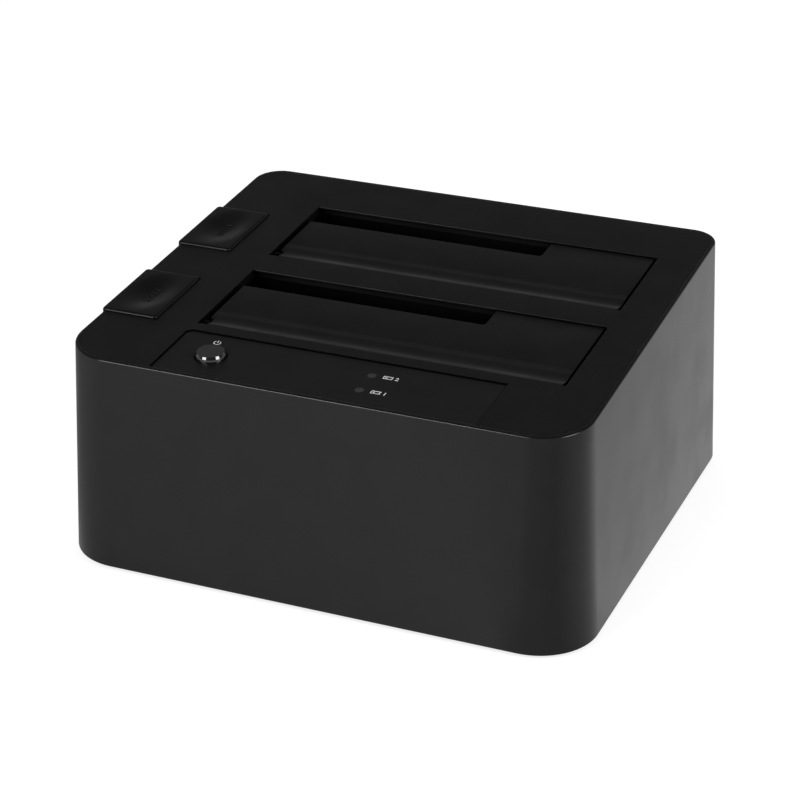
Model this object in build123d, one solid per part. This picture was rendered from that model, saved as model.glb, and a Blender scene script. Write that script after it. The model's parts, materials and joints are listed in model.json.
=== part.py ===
from build123d import *
import math
import os

os.makedirs("parts", exist_ok=True)

# Sizes are in millimetres. X runs along the front, Y to the rear and Z up; the origin is on the
# surface that the dock stands on, under the middle of the case.

# Case: a sleeve whose walls lean outwards as they go down, under a top that slopes to the front
TOP_WIDTH = 143.2  # outside, at the rim
TOP_DEPTH = 128.0  # outside, at the rim
FRONT_HEIGHT = 60.2  # lower edge of the case to its rim, at the front
REAR_HEIGHT = 68.1
FRONT_CORNER_RADIUS = 13.5  # upright corners, at the rim
REAR_CORNER_RADIUS = 8.1
FLARE_ANGLE = 2.57  # degrees that each wall leans
CASE_WALL = 2.4
RIM_WIDTH = 1.1  # what shows of the wall round the cover and round the tray
RIM_ROUND = 0.5
LOWER_EDGE_ROUND = 0.6
SEAM = 0.15  # gap round the cover and the tray
FOOT_STANDOFF = 1.0  # how far the feet reach below the case
OVERRUN = 5.0  # what a cutter reaches past the face that it opens

# Cover and the inlaid control panel
COVER_THICKNESS = 2.4
PANEL_THICKNESS = 1.1
PANEL_SUNK = 0.35  # face of the panel below the cover's top
PANEL_INSET_LEFT = 26.45  # from the left side of the rim
PANEL_INSET_RIGHT = 26.4
PANEL_DEPTH = 23.65  # from the front of the rim to the panel's rear edge
PANEL_CORNER_CUT = 1.2
PANEL_GAP = 0.45
PANEL_SIDE_GAP = 0.3

# Bays, for drives 101.6 wide and 26.1 thick: what the case has left between these bands of the cover
BAY_INSET_LEFT = 27.25  # from the left side of the rim
BAY_INSET_RIGHT = 12.35
FRONT_BAND = 27.25  # in front of the front bay
REAR_BAND = 21.4  # behind the rear bay
BAY_BRIDGE = 9.95  # between the two bays
DRIVE_PLAY = 1.0  # beside the drive, each side
FLAP_ROOM = 8.4  # in front of the drive, for its flap folded down
REAR_LIP = 0.45  # how far the cover reaches over the flap's free edge
REAR_LIP_GAP = 0.1  # between that lip and the flap
OPENING_ROUND = 0.45
WELL_WALL = 1.6
WELL_FLOOR_TOP = 17.6
WELL_FLOOR = 2.0
GUIDE_RIB = 1.6
GUIDE_RIB_COUNT = 5
GUIDE_RIB_HEIGHT = 9.0
GUIDE_RIB_SLOPE = 3.0
SIDE_RUNNER = 0.6
SIDE_RUNNER_WIDTH = 4.0

# Flaps and their hinges
FLAP_THICKNESS = 1.8
FLAP_SUNK = 0.7  # top of the flap below the cover's top
FLAP_GAP_LEFT = 1.2
FLAP_GAP_RIGHT = 1.15
FLAP_GAP = 0.35
FLAP_EDGE_ROUND = 0.4
FLAP_RIB = 1.2
FLAP_RIB_DEPTH = 0.9
FLAP_RIB_COUNT = 6
BARREL_RADIUS = 2.2
BARREL_PROUD = 0.15  # above the cover's top
BARREL_GAP = 0.3
VALLEY_RADIUS = 0.9
COVE_WIDTH = 4.0  # shallow hollow across the plate, behind the barrel
COVE_DEPTH = 0.35
SPRING_BAY = 2.7  # room at the left end of the barrel for its spring
HINGE_PIN_RADIUS = 0.9
RUNNING_GAP = 0.05
SEAT_GAP = 0.02
CUTOUT_LENGTH = 72.1  # recess for narrow drives, from the bay's left side
CUTOUT_DEPTH = 8.7
CUTOUT_ROUND = 1.2
FLAP_SPRING_WIRE = 0.5
FLAP_SPRING_END_GAP = 0.3
FLAP_SPRING_LEG = 7.0

# Eject buttons, on the left edge
EJECT_WIDTH = 16.7
EJECT_DEPTH = 26.3
EJECT_OFFSET = -6.0  # middle of the button from the middle of its bay
EJECT_PROUD = 0.6
EJECT_OVERHANG = 0.9  # past the side of the case, at the rim
EJECT_CAP = 2.0
EJECT_SKIRT = 6.5  # outer skirt, below the cover's top
EJECT_INNER_SKIRT = 3.6
EJECT_WALL = 1.3
EJECT_CORNER = 1.2
EJECT_ROUND = 0.5
EJECT_GAP = 0.25
EJECT_FLANGE = 0.8
EJECT_FLANGE_DROP = 0.1
EJECT_TRAVEL = 4.0
EJECT_STOP_GAP = 0.5
DISH_LENGTH = 22.5
DISH_WIDTH = 13.5
DISH_DEPTH = 1.1
DISH_ROUND = 1.8  # round of the dish's edge
DISH_RISE_SHARE = 0.75  # of the hollow's upright half axis, how far its middle lies over the cap
STEM_BLADE = 1.2
STEM_RADIUS = 1.9
STEM_GAP = 0.3
SHELF_HEIGHT = 48.0
SHELF_THICKNESS = 2.0
SHELF_REACH = 5.0  # past the stem's axis
SHELF_WIDTH = 12.0
EJECT_SPRING_RADIUS = 3.3
EJECT_SPRING_WIRE = 0.6

# Levers that lift the drives off their sockets
PIVOT_FROM_STEM = 11.4
PIVOT_HEIGHT = 12.4
LEVER_THICKNESS = 2.4
LEVER_HUB = 2.6
LEVER_PIN_RADIUS = 1.0
LEVER_WIDTH = 20.0
LEVER_OFFSET = 1.0  # middle of the lever from the middle of its bay
LEVER_TAIL = 2.6  # past the stem's axis
LEVER_TIP_REACH = 6.4  # inside the bay's wall
LEVER_TIP_SUNK = 0.4
LEVER_TIP_LENGTH = 5.0
LEVER_SLOT_GAP = 0.6
LEVER_NOTCH_TOP = 22.0
LEVER_CONTACT_GAP = 0.15
LEVER_POST = 2.0
LEVER_POST_GAP = 0.3
LEVER_POST_WIDTH = 7.0

# Base tray
TRAY_RECESS = 0.6  # above the lower edge of the case
TRAY_THICKNESS = 2.2
TRAY_LIP = 1.6
TRAY_LIP_HEIGHT = 5.0
VENT_WIDTH = 2.4
VENT_PITCH = 6.0
VENT_COUNT = 9
VENT_BRIDGE = 16.0  # between the two rows of slots
VENT_INSET = 31.5  # from the front and rear of the rim to the slots
FOOT_RADIUS = 5.5
FOOT_SEAT = 0.8
FOOT_SIDE_GAP = 0.2
FOOT_INSET_X = 17.5
FOOT_INSET_Y = 17.5
FOOT_ROUND = 0.6

# Fasteners
BASE_SCREW_RADIUS = 1.5
BASE_SCREW_HEAD = 2.8
BASE_SCREW_HEAD_HEIGHT = 2.0
BASE_SCREW_LENGTH = 12.0
BASE_SCREW_SUNK = 0.4
SCREW_INSET = 10.0  # from the sides of the case at the rim
POST_RADIUS = 3.6
BOSS_RADIUS = 4.6
BOSS_TOP = 8.6
SMALL_SCREW_RADIUS = 1.2
SMALL_SCREW_HEAD = 2.3
SMALL_SCREW_HEAD_HEIGHT = 1.6
SMALL_SCREW_LENGTH = 6.0
SCREW_END_GAP = 0.5
LUG_SIZE = 6.0
LUG_THICKNESS = 2.2
LUG_BOSS = 3.0  # height of the boss under the cover
LUG_BOSS_RADIUS = 2.8
LUG_INSET = 4.5  # from the bay's front and rear

# Main board and what stands on it
BOARD_THICKNESS = 1.6
BOARD_CLEARANCE = 5.0  # above the tray's floor
BOARD_INSET_LEFT = 26.9  # from the sides of the rim
BOARD_INSET_RIGHT = 16.5
BOARD_INSET_FRONT = 13.5
BOARD_CORNER = 2.0
BOARD_SCREW_INSET = 5.0
STANDOFF_RADIUS = 3.0
SOCKET_FROM_DRIVE_EDGE = 30.12
SOCKET_FROM_DRIVE_FACE = 3.5
SOCKET_LENGTH = 42.6
SOCKET_WIDTH = 5.6
SOCKET_HEIGHT = 10.6
SOCKET_FLANGE = 7.6
SOCKET_FLANGE_HEIGHT = 2.6
SOCKET_END_GUIDE = 3.4
SOCKET_END_SLOT = 1.4
SOCKET_SLOT_DEPTH = 7.0
SOCKET_FLOOR_GAP = 0.4
TONGUE_THICKNESS = 1.7
TONGUE_KEY = 1.3
TONGUE_KEY_THICKNESS = 1.0
TONGUE_GAP = 1.9
CONTACT_PITCH = 1.27
CONTACT_WIDTH = 0.5
CONTACT_THICKNESS = 0.3
CONTACT_HEIGHT = 5.6
DATA_CONTACTS = 7
POWER_CONTACTS = 15

PORT_RECESS = 0.8
PORT_GAP = 0.3
USB_INSET = 51.5  # middle of the port from the right side of the rim
USB_WIDTH = 12.0
USB_HEIGHT = 12.8
USB_LENGTH = 17.0
USB_SHELL = 0.7
USB_LOWER_WIDTH = 8.5
USB_LOWER_HEIGHT = 7.4
USB_UPPER_WIDTH = 5.7
USB_UPPER_HEIGHT = 2.9
USB_FLOOR = 1.1
USB_CAVITY = 11.0
USB_TONGUE_WIDTH = 5.6
USB_TONGUE_HEIGHT = 3.1
USB_TONGUE_LENGTH = 8.6
USB_UPPER_TONGUE_WIDTH = 4.2
USB_UPPER_TONGUE_HEIGHT = 1.2
JACK_INSET = 31.5  # middle of the socket from the right side of the rim
JACK_WIDTH = 9.0
JACK_HEIGHT = 11.0
JACK_LENGTH = 12.0
JACK_NOSE_RADIUS = 4.0
JACK_NOSE = 2.4
JACK_BORE_RADIUS = 2.8
JACK_BORE = 9.5
JACK_AXIS_HEIGHT = 6.5
JACK_PIN_RADIUS = 1.0
JACK_PIN_LENGTH = 8.6

CHIP_SIZE = 10.0
CHIP_HEIGHT = 1.4
CHIP_LEG_REACH = 0.9
CHIP_LEG_WIDTH = 0.3
CHIP_LEG_PITCH = 1.0
CHIP_LEG_HEIGHT = 0.5
CHIP_LEG_COUNT = 8
COIL_SIZE = 6.6
COIL_HEIGHT = 3.6
COIL_ROUND = 1.4
COIL_COUNT = 3
CAN_RADIUS = 3.1
CAN_HEIGHT = 6.8
CAN_BASE = 6.8
CAN_BASE_HEIGHT = 1.0
CAN_COUNT = 3
CRYSTAL_LENGTH = 10.0
CRYSTAL_WIDTH = 4.2
CRYSTAL_HEIGHT = 3.2

# Power button, indicators and the small board under the panel
POWER_INSET_LEFT = 38.75  # middle of the button from the left side of the rim
POWER_INSET_FRONT = 12.15
POWER_RADIUS = 4.2
POWER_TOP_RADIUS = 3.65
POWER_PROUD = 1.1  # above the cover's top
POWER_CHAMFER_HEIGHT = 1.0
POWER_GAP = 0.2
POWER_FLANGE = 0.8
POWER_FLANGE_THICKNESS = 0.8
POWER_STEM_RADIUS = 2.2
POWER_TRAVEL = 1.0
LAMP_FROM_PANEL_RIGHT = 34.4
LAMP_INSETS = (8.4, 16.45)  # from the front of the rim
LAMP_RADIUS = 1.2
LAMP_FLANGE = 0.6
LAMP_FLANGE_THICKNESS = 0.8
LAMP_LED_GAP = 0.3
LED_SIZE = 2.2
LED_HEIGHT = 0.8
SMALL_BOARD_DROP = 6.0  # below the cover's underside
SMALL_BOARD_THICKNESS = 1.2
SMALL_BOARD_LEFT_REACH = 7.8  # past the middle of the power button
SMALL_BOARD_RIGHT_REACH = 9.9  # past the middle of the indicators
SMALL_BOARD_INSET_FRONT = 4.9  # from the front of the rim
SMALL_BOARD_DEPTH = 16.4
SMALL_BOARD_SCREW_INSET = 13.0  # from the front of the rim
SMALL_BOARD_SCREW_REACH = 5.4  # right-hand screw, past the middle of the indicators
SMALL_BOARD_SCREW_SHARE = 0.351  # left-hand screw, on the way from the button to the indicators
SMALL_BOARD_BOSS = 2.6
SWITCH_SIZE = 6.0
SWITCH_HEIGHT = 3.4
PLUNGER_RADIUS = 1.75
PLUNGER_HEIGHT = 1.2
PLUNGER_SEAT = 1.6
HEADER_SHARE = 0.674  # on the way from the button to the indicators
HEADER_INSET = 17.1  # from the front of the rim
HEADER_LENGTH = 9.0
HEADER_WIDTH = 4.6
HEADER_HEIGHT = 4.2
LEAD_WIDTH = 6.2
LEAD_THICKNESS = 0.9
LEAD_BEND = 4.5
LEAD_OFFSET = 2.6  # how far the lead bows towards the bay
LEAD_STRAIGHT = 6.0

# Levels and places that follow from the sizes above
REACH = TOP_WIDTH + TOP_DEPTH
ABOVE_RIM = FOOT_STANDOFF + REAR_HEIGHT + OVERRUN  # level clear of the whole cover
CENTRE_HEIGHT = (FRONT_HEIGHT + REAR_HEIGHT) / 2
RIM_LEVEL = FOOT_STANDOFF + CENTRE_HEIGHT
SLOPE = (REAR_HEIGHT - FRONT_HEIGHT) / TOP_DEPTH
TILT = math.degrees(math.atan(SLOPE))
UPRIGHT_SHARE = math.hypot(1, SLOPE)  # upright distance for each unit square to the cover
FLARE = math.tan(math.radians(FLARE_ANGLE))
TRAY_UNDERSIDE = FOOT_STANDOFF + TRAY_RECESS
TRAY_TOP = TRAY_UNDERSIDE + TRAY_THICKNESS
BOARD_UNDERSIDE = TRAY_TOP + BOARD_CLEARANCE
BOARD_TOP = BOARD_UNDERSIDE + BOARD_THICKNESS
WELL_UNDERSIDE = WELL_FLOOR_TOP - WELL_FLOOR
RIM_LEFT = -TOP_WIDTH / 2
RIM_RIGHT = TOP_WIDTH / 2
RIM_FRONT = -TOP_DEPTH / 2
BAY_LEFT = RIM_LEFT + BAY_INSET_LEFT
BAY_RIGHT = RIM_RIGHT - BAY_INSET_RIGHT
BAY_WIDTH = BAY_RIGHT - BAY_LEFT
BAY_CENTRE_X = (BAY_LEFT + BAY_RIGHT) / 2
BAY_OPENING = (TOP_DEPTH - FRONT_BAND - REAR_BAND - BAY_BRIDGE) / 2
BAY_PITCH = BAY_OPENING + BAY_BRIDGE
FRONT_BAY_Y = RIM_FRONT + FRONT_BAND + BAY_OPENING / 2
BAYS = {"front": FRONT_BAY_Y, "rear": FRONT_BAY_Y + BAY_PITCH}
DRIVE_THICKNESS = BAY_OPENING + REAR_LIP + FLAP_GAP - DRIVE_PLAY - FLAP_ROOM
PANEL_UNDERSIDE = -PANEL_SUNK - PANEL_THICKNESS
REAR_LIP_THICKNESS = FLAP_SUNK - REAR_LIP_GAP
PANEL_LEFT = RIM_LEFT + PANEL_INSET_LEFT
PANEL_RIGHT = RIM_RIGHT - PANEL_INSET_RIGHT
PANEL_REAR = RIM_FRONT + PANEL_DEPTH
CUTOUT_RIGHT = BAY_LEFT + CUTOUT_LENGTH
EJECT_LEFT = RIM_LEFT - EJECT_OVERHANG
EJECT_RIGHT = EJECT_LEFT + EJECT_WIDTH
SKIRT_INNER_X = EJECT_LEFT + EJECT_WALL
CAP_HOLLOW_LEFT = RIM_LEFT + CASE_WALL + STEM_GAP
STEM_X = (CAP_HOLLOW_LEFT + EJECT_RIGHT - EJECT_WALL) / 2
PIVOT_X = STEM_X + PIVOT_FROM_STEM
SCREW_X = RIM_RIGHT - SCREW_INSET
SCREW_Y = TOP_DEPTH / 2 - SCREW_INSET
FOOT_X = RIM_RIGHT - FOOT_INSET_X
FOOT_Y = TOP_DEPTH / 2 - FOOT_INSET_Y
BOARD_LEFT = RIM_LEFT + BOARD_INSET_LEFT
BOARD_RIGHT = RIM_RIGHT - BOARD_INSET_RIGHT
BOARD_FRONT = RIM_FRONT + BOARD_INSET_FRONT
USB_X = RIM_RIGHT - USB_INSET
JACK_X = RIM_RIGHT - JACK_INSET
POWER_X = RIM_LEFT + POWER_INSET_LEFT
POWER_Y = RIM_FRONT + POWER_INSET_FRONT
LAMP_X = PANEL_RIGHT - LAMP_FROM_PANEL_RIGHT
LAMP_YS = tuple(RIM_FRONT + inset for inset in LAMP_INSETS)
SMALL_BOARD_LEFT = POWER_X - SMALL_BOARD_LEFT_REACH
SMALL_BOARD_RIGHT = LAMP_X + SMALL_BOARD_RIGHT_REACH
SMALL_BOARD_FRONT = RIM_FRONT + SMALL_BOARD_INSET_FRONT
SMALL_BOARD_REAR = SMALL_BOARD_FRONT + SMALL_BOARD_DEPTH
SMALL_BOARD_SCREW_X = (
    POWER_X + (LAMP_X - POWER_X) * SMALL_BOARD_SCREW_SHARE,
    LAMP_X + SMALL_BOARD_SCREW_REACH,
)
SMALL_BOARD_SCREW_Y = RIM_FRONT + SMALL_BOARD_SCREW_INSET
HEADER_X = POWER_X + (LAMP_X - POWER_X) * HEADER_SHARE
HEADER_Y = RIM_FRONT + HEADER_INSET
VENT_LENGTH = TOP_DEPTH / 2 - VENT_INSET - VENT_BRIDGE / 2
VENT_ROW_Y = (VENT_BRIDGE + VENT_LENGTH) / 2
SMALL_BOARD_TOP = -COVER_THICKNESS - SMALL_BOARD_DROP
CORNERS = ((-1, -1), (1, -1), (1, 1), (-1, 1))


def top_height(y):
    """Level of the cover's top at y."""
    return RIM_LEVEL + SLOPE * y


def wall_y(z):
    """Y of the rear wall's outer face at level z."""
    return TOP_DEPTH / 2 + FLARE * (RIM_LEVEL - z)


def on_top(x, y):
    """Frame on the cover's top at x, y, with its Z square to the cover."""
    return Location((x, y, top_height(y)), (TILT, 0, 0))


def span_box(x0, x1, y0, y1, z0, z1):
    """Block between two limits on each axis."""
    corner = (Align.MIN, Align.MIN, Align.MIN)
    return Pos(x0, y0, z0) * Box(x1 - x0, y1 - y0, z1 - z0, align=corner)


def upright(x, y, radius, z0, z1):
    """Upright cylinder between two levels."""
    low = (Align.CENTER, Align.CENTER, Align.MIN)
    return Pos(x, y, z0) * Cylinder(radius, z1 - z0, align=low)


def disc(radius, z0, z1):
    """Cylinder on the local Z axis between two heights."""
    return upright(0, 0, radius, z0, z1)


def slab(x0, x1, y0, y1, low, high):
    """Block with upright sides; its top and bottom lie at two heights square to the sloping cover."""
    low, high = low * UPRIGHT_SHARE, high * UPRIGHT_SHARE
    outline = Polyline(
        (y0, top_height(y0) + low),
        (y1, top_height(y1) + low),
        (y1, top_height(y1) + high),
        (y0, top_height(y0) + high),
        close=True,
    )
    return Pos(x0, 0, 0) * extrude(Plane.YZ * make_face(outline), amount=x1 - x0)


def sloped(plan, low, high):
    """Upright prism over a plan outline, between two heights above the sloping cover."""
    return extrude(plan, amount=REACH) & slab(-REACH, REACH, -REACH, REACH, low, high)


def below_top(depth):
    """All the space lower than a depth under the cover's top."""
    return slab(-REACH, REACH, -REACH, REACH, -REACH - depth, -depth)


def rim_plan(spread):
    """Outline of the case at its rim, grown by an amount; the front corners are the rounder ones."""
    plan = Rectangle(TOP_WIDTH + 2 * spread, TOP_DEPTH + 2 * spread)
    plan = fillet(plan.vertices().group_by(Axis.Y)[0], FRONT_CORNER_RADIUS + spread)
    return fillet(plan.vertices().group_by(Axis.Y)[-1], REAR_CORNER_RADIUS + spread)


def flared_block(inset, low, high):
    """Solid inside the case's outer face, inset all round, between two levels."""
    plan = rim_plan(FLARE * (RIM_LEVEL - low) - inset)
    return Pos(0, 0, low) * extrude(plan, amount=high - low, taper=FLARE_ANGLE)


def inside_rim():
    """Leaning block that the case's rim holds, with the seam round it."""
    return flared_block(RIM_WIDTH + SEAM, FOOT_STANDOFF, ABOVE_RIM)


def x_edges_at(shape, y, z, near=RIM_WIDTH / 2):
    """Edges along X that lie near y and z."""
    edges = shape.edges().filter_by(Axis.X)
    return edges.filter_by(lambda e: abs(e.center().Y - y) < near and abs(e.center().Z - z) < near)


def screw(radius, length, head_radius, head_height):
    """Pan-head screw standing on its head, with its shank up and a cross recess below."""
    profile = make_face(
        Polyline(
            (0, 0),
            (head_radius, 0),
            (head_radius, head_height),
            (radius, head_height),
            (radius, head_height + length - radius),
            (0, head_height + length),
            close=True,
        )
    )
    body = revolve(Plane.XZ * profile, Axis.Z)
    body = chamfer(body.edges().sort_by(Axis.Z)[0], head_height / 4)
    arm = head_radius / 4
    for width, depth in ((head_radius, arm), (arm, head_radius)):
        body -= Box(width, depth, head_height)
    return body


def bay_front(y):
    """Front edge of the opening of the bay at y."""
    return y - BAY_OPENING / 2


def bay_rear(y):
    """Rear edge of the opening of the bay at y."""
    return y + BAY_OPENING / 2


def well_rear(y):
    """Inner face of the well's rear wall."""
    return bay_rear(y) + REAR_LIP + FLAP_GAP


def hinge_point(y):
    """Y and Z of the flap's hinge axis."""
    hinge_y = bay_front(y) + BARREL_RADIUS + BARREL_GAP
    return hinge_y, top_height(hinge_y) + (BARREL_PROUD - BARREL_RADIUS) * UPRIGHT_SHARE


def lug_places(y):
    """Centres of the lugs that hang the well at y from the cover."""
    left = BAY_LEFT - WELL_WALL - LUG_SIZE / 2
    right = BAY_RIGHT + WELL_WALL + LUG_SIZE / 2
    ends = (bay_front(y) + LUG_INSET, well_rear(y) - LUG_INSET)
    return [(x, end) for x in (left, right) for end in ends]


def outer_case():
    """Sleeve of four leaning walls, with the ports' openings and notches for the buttons."""
    high = ABOVE_RIM
    case = flared_block(0, FOOT_STANDOFF, high) & below_top(0)
    rim = case.faces().filter_by(lambda f: f.normal_at().Z > FLARE)
    case = fillet(rim.edges(), RIM_ROUND)
    case = fillet(case.faces().sort_by(Axis.Z)[0].edges(), LOWER_EDGE_ROUND)
    case -= flared_block(CASE_WALL, FOOT_STANDOFF - OVERRUN, high)
    case -= flared_block(RIM_WIDTH, FOOT_STANDOFF - OVERRUN, TRAY_TOP)
    case -= flared_block(RIM_WIDTH, FOOT_STANDOFF, high) - below_top(COVER_THICKNESS)
    case -= usb_opening()
    case -= jack_opening()
    for y in BAYS.values():
        middle = y + EJECT_OFFSET
        front = middle - EJECT_DEPTH / 2 - EJECT_GAP
        rear = middle + EJECT_DEPTH / 2 + EJECT_GAP
        notch = EJECT_CAP - EJECT_PROUD + EJECT_TRAVEL + EJECT_STOP_GAP
        case -= slab(-REACH, CAP_HOLLOW_LEFT, front, rear, -notch, OVERRUN)
        pocket = EJECT_SKIRT + EJECT_TRAVEL + EJECT_STOP_GAP
        case -= slab(-REACH, SKIRT_INNER_X + STEM_GAP, front, rear, -pocket, OVERRUN)
    return case


def usb_opening():
    """Space of the data port's opening in the rear wall."""
    side = USB_WIDTH / 2 + PORT_GAP
    top = BOARD_TOP + USB_HEIGHT + PORT_GAP
    return span_box(USB_X - side, USB_X + side, 0, REACH, BOARD_TOP - PORT_GAP, top)


def jack_opening():
    """Space of the power socket's round opening in the rear wall."""
    hole = Cylinder(JACK_NOSE_RADIUS + PORT_GAP, REACH, align=(Align.CENTER, Align.CENTER, Align.MIN))
    return Pos(JACK_X, 0, BOARD_TOP + JACK_AXIS_HEIGHT) * Rot(-90, 0, 0) * hole


def panel_plan(gap_rear, gap_side):
    """Plan of the control panel, or of its recess, drawn in by a gap and open to the front."""
    front = RIM_FRONT - OVERRUN
    left = PANEL_LEFT + gap_side
    right = PANEL_RIGHT - gap_side
    rear = PANEL_REAR - gap_rear
    cut = PANEL_CORNER_CUT
    return make_face(
        Polyline(
            (left, front),
            (right, front),
            (right, rear),
            (left + cut, rear),
            (left, rear - cut),
            close=True,
        )
    )


def cover_openings(y):
    """What the bay at y takes out of the cover."""
    opening = span_box(BAY_LEFT, BAY_RIGHT, bay_front(y), bay_rear(y), WELL_FLOOR_TOP, REACH)
    step = slab(BAY_LEFT, BAY_RIGHT, y, well_rear(y), -COVER_THICKNESS - OVERRUN, -REAR_LIP_THICKNESS)
    return opening + step


def top_cover():
    """Sloping top plate with the bay openings, screw posts and bosses below."""
    cover = inside_rim() & slab(-REACH, REACH, -REACH, REACH, -COVER_THICKNESS, 0)
    underside = below_top(COVER_THICKNESS)
    for sx, sy in CORNERS:
        cover += upright(sx * SCREW_X, sy * SCREW_Y, POST_RADIUS, BOSS_TOP, REACH) & underside
    for y in BAYS.values():
        for x, lug_y in lug_places(y):
            boss = disc(LUG_BOSS_RADIUS, -COVER_THICKNESS - LUG_BOSS, -COVER_THICKNESS / 2)
            cover += on_top(x, lug_y) * boss
    board_boss = disc(SMALL_BOARD_BOSS, SMALL_BOARD_TOP, -COVER_THICKNESS / 2)
    for x in SMALL_BOARD_SCREW_X:
        cover += on_top(x, SMALL_BOARD_SCREW_Y) * board_boss
    for y in BAYS.values():
        cover -= cover_openings(y)
        rear = bay_rear(y)
        cover = fillet(x_edges_at(cover, rear, top_height(rear)), min(OPENING_ROUND, REAR_LIP_THICKNESS / 2))
        cover -= pin_groove(y)
        middle = y + EJECT_OFFSET
        side = EJECT_DEPTH / 2 + EJECT_GAP
        low = -COVER_THICKNESS - OVERRUN
        cover -= slab(-REACH, EJECT_RIGHT + EJECT_GAP, middle - side, middle + side, low, OVERRUN)
    cover -= sloped(panel_plan(0, 0), PANEL_UNDERSIDE, OVERRUN)
    cover -= on_top(POWER_X, POWER_Y) * disc(POWER_RADIUS + POWER_FLANGE + POWER_GAP, -OVERRUN, OVERRUN)
    for y in LAMP_YS:
        lamp = on_top(LAMP_X, y)
        cover -= lamp * disc(LAMP_RADIUS + SEAT_GAP, -OVERRUN, OVERRUN)
    return cover - cover_screw_holes()


def pin_groove(y):
    """Groove in the cover's underside for the ends of the hinge pin."""
    hinge_y, hinge_z = hinge_point(y)
    radius = HINGE_PIN_RADIUS + SEAT_GAP
    length = BAY_WIDTH + 2 * WELL_WALL + 2 * SEAT_GAP
    groove = Cylinder(radius, length)
    groove += Pos(COVER_THICKNESS / 2, 0, 0) * Box(COVER_THICKNESS, 2 * radius, length)
    return Pos(BAY_CENTRE_X, hinge_y, hinge_z) * Rot(0, 90, 0) * groove


def cover_screw_holes():
    """Pilot holes in the cover's posts and bosses."""
    holes = Part()
    radius = BASE_SCREW_RADIUS + SEAT_GAP
    base = TRAY_UNDERSIDE + BASE_SCREW_SUNK + BASE_SCREW_HEAD_HEIGHT
    end = base + BASE_SCREW_LENGTH + SCREW_END_GAP
    for sx, sy in CORNERS:
        holes += upright(sx * SCREW_X, sy * SCREW_Y, radius, BOSS_TOP - OVERRUN, end)
    for y in BAYS.values():
        for x, lug_y in lug_places(y):
            low = -COVER_THICKNESS - LUG_BOSS - LUG_THICKNESS
            hole = disc(SMALL_SCREW_RADIUS + SEAT_GAP, low, low + SMALL_SCREW_LENGTH + SCREW_END_GAP)
            holes += on_top(x, lug_y) * hole
    for x in SMALL_BOARD_SCREW_X:
        low = SMALL_BOARD_TOP - SMALL_BOARD_THICKNESS
        hole = disc(SMALL_SCREW_RADIUS + SEAT_GAP, low, low + SMALL_SCREW_LENGTH + SCREW_END_GAP)
        holes += on_top(x, SMALL_BOARD_SCREW_Y) * hole
    return holes


def control_panel():
    """Inlaid panel with the button's hole and the indicators' holes."""
    panel = sloped(panel_plan(PANEL_GAP, PANEL_SIDE_GAP), PANEL_UNDERSIDE, -PANEL_SUNK) & inside_rim()
    panel -= on_top(POWER_X, POWER_Y) * disc(POWER_RADIUS + POWER_GAP, -OVERRUN, OVERRUN)
    for y in LAMP_YS:
        panel -= on_top(LAMP_X, y) * disc(LAMP_RADIUS + SEAT_GAP, -OVERRUN, OVERRUN)
    return panel


def socket_place(y):
    """X and Y of the middle of the drive socket in the bay at y."""
    x = BAY_LEFT + DRIVE_PLAY + SOCKET_FROM_DRIVE_EDGE
    return x, well_rear(y) - DRIVE_PLAY / 2 - SOCKET_FROM_DRIVE_FACE


def lever_span(y):
    """Front and rear faces of the lever of the bay at y."""
    middle = y + LEVER_OFFSET
    return middle - LEVER_WIDTH / 2, middle + LEVER_WIDTH / 2


def bay_well(y):
    """Guide well for a drive: walls, floor, ribs, lugs and the eject button's shelf."""
    left, right = BAY_LEFT - WELL_WALL, BAY_RIGHT + WELL_WALL
    front, rear = bay_front(y) - WELL_WALL, well_rear(y) + WELL_WALL
    well = span_box(left, right, front, rear, WELL_UNDERSIDE, REACH / 2)
    well -= span_box(BAY_LEFT, BAY_RIGHT, bay_front(y), well_rear(y), WELL_FLOOR_TOP, REACH)
    drive_front = well_rear(y) - DRIVE_PLAY - DRIVE_THICKNESS
    middle = (drive_front + well_rear(y)) / 2
    for step in (-1, 1):
        at = middle + step * DRIVE_THICKNESS / 3
        low, high = at - SIDE_RUNNER_WIDTH / 2, at + SIDE_RUNNER_WIDTH / 2
        top = WELL_FLOOR_TOP + GUIDE_RIB_HEIGHT
        well += span_box(BAY_RIGHT - SIDE_RUNNER, BAY_RIGHT, low, high, WELL_UNDERSIDE, top)
    pitch = BAY_WIDTH / (GUIDE_RIB_COUNT + 1)
    for index in range(GUIDE_RIB_COUNT):
        well += guide_rib(BAY_LEFT + pitch * (index + 1), bay_front(y), drive_front)
    for x, lug_y in lug_places(y):
        well += well_lug(x, lug_y)
    well += button_shelf(y)
    well = well & below_top(COVER_THICKNESS)
    sx, sy = socket_place(y)
    half_x, half_y = SOCKET_LENGTH / 2 + SOCKET_FLOOR_GAP, SOCKET_WIDTH / 2 + SOCKET_FLOOR_GAP
    well -= span_box(sx - half_x, sx + half_x, sy - half_y, sy + half_y, 0, WELL_FLOOR_TOP + OVERRUN)
    well -= lever_slot(y)
    hinge_y, hinge_z = hinge_point(y)
    pin_hole = Cylinder(HINGE_PIN_RADIUS + SEAT_GAP, REACH)
    well -= Pos(0, hinge_y, hinge_z) * Rot(0, 90, 0) * pin_hole
    for x, lug_y in lug_places(y):
        hole = disc(SMALL_SCREW_RADIUS + SEAT_GAP, -REACH / 4, 0)
        well -= on_top(x, lug_y) * hole
    return well


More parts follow.
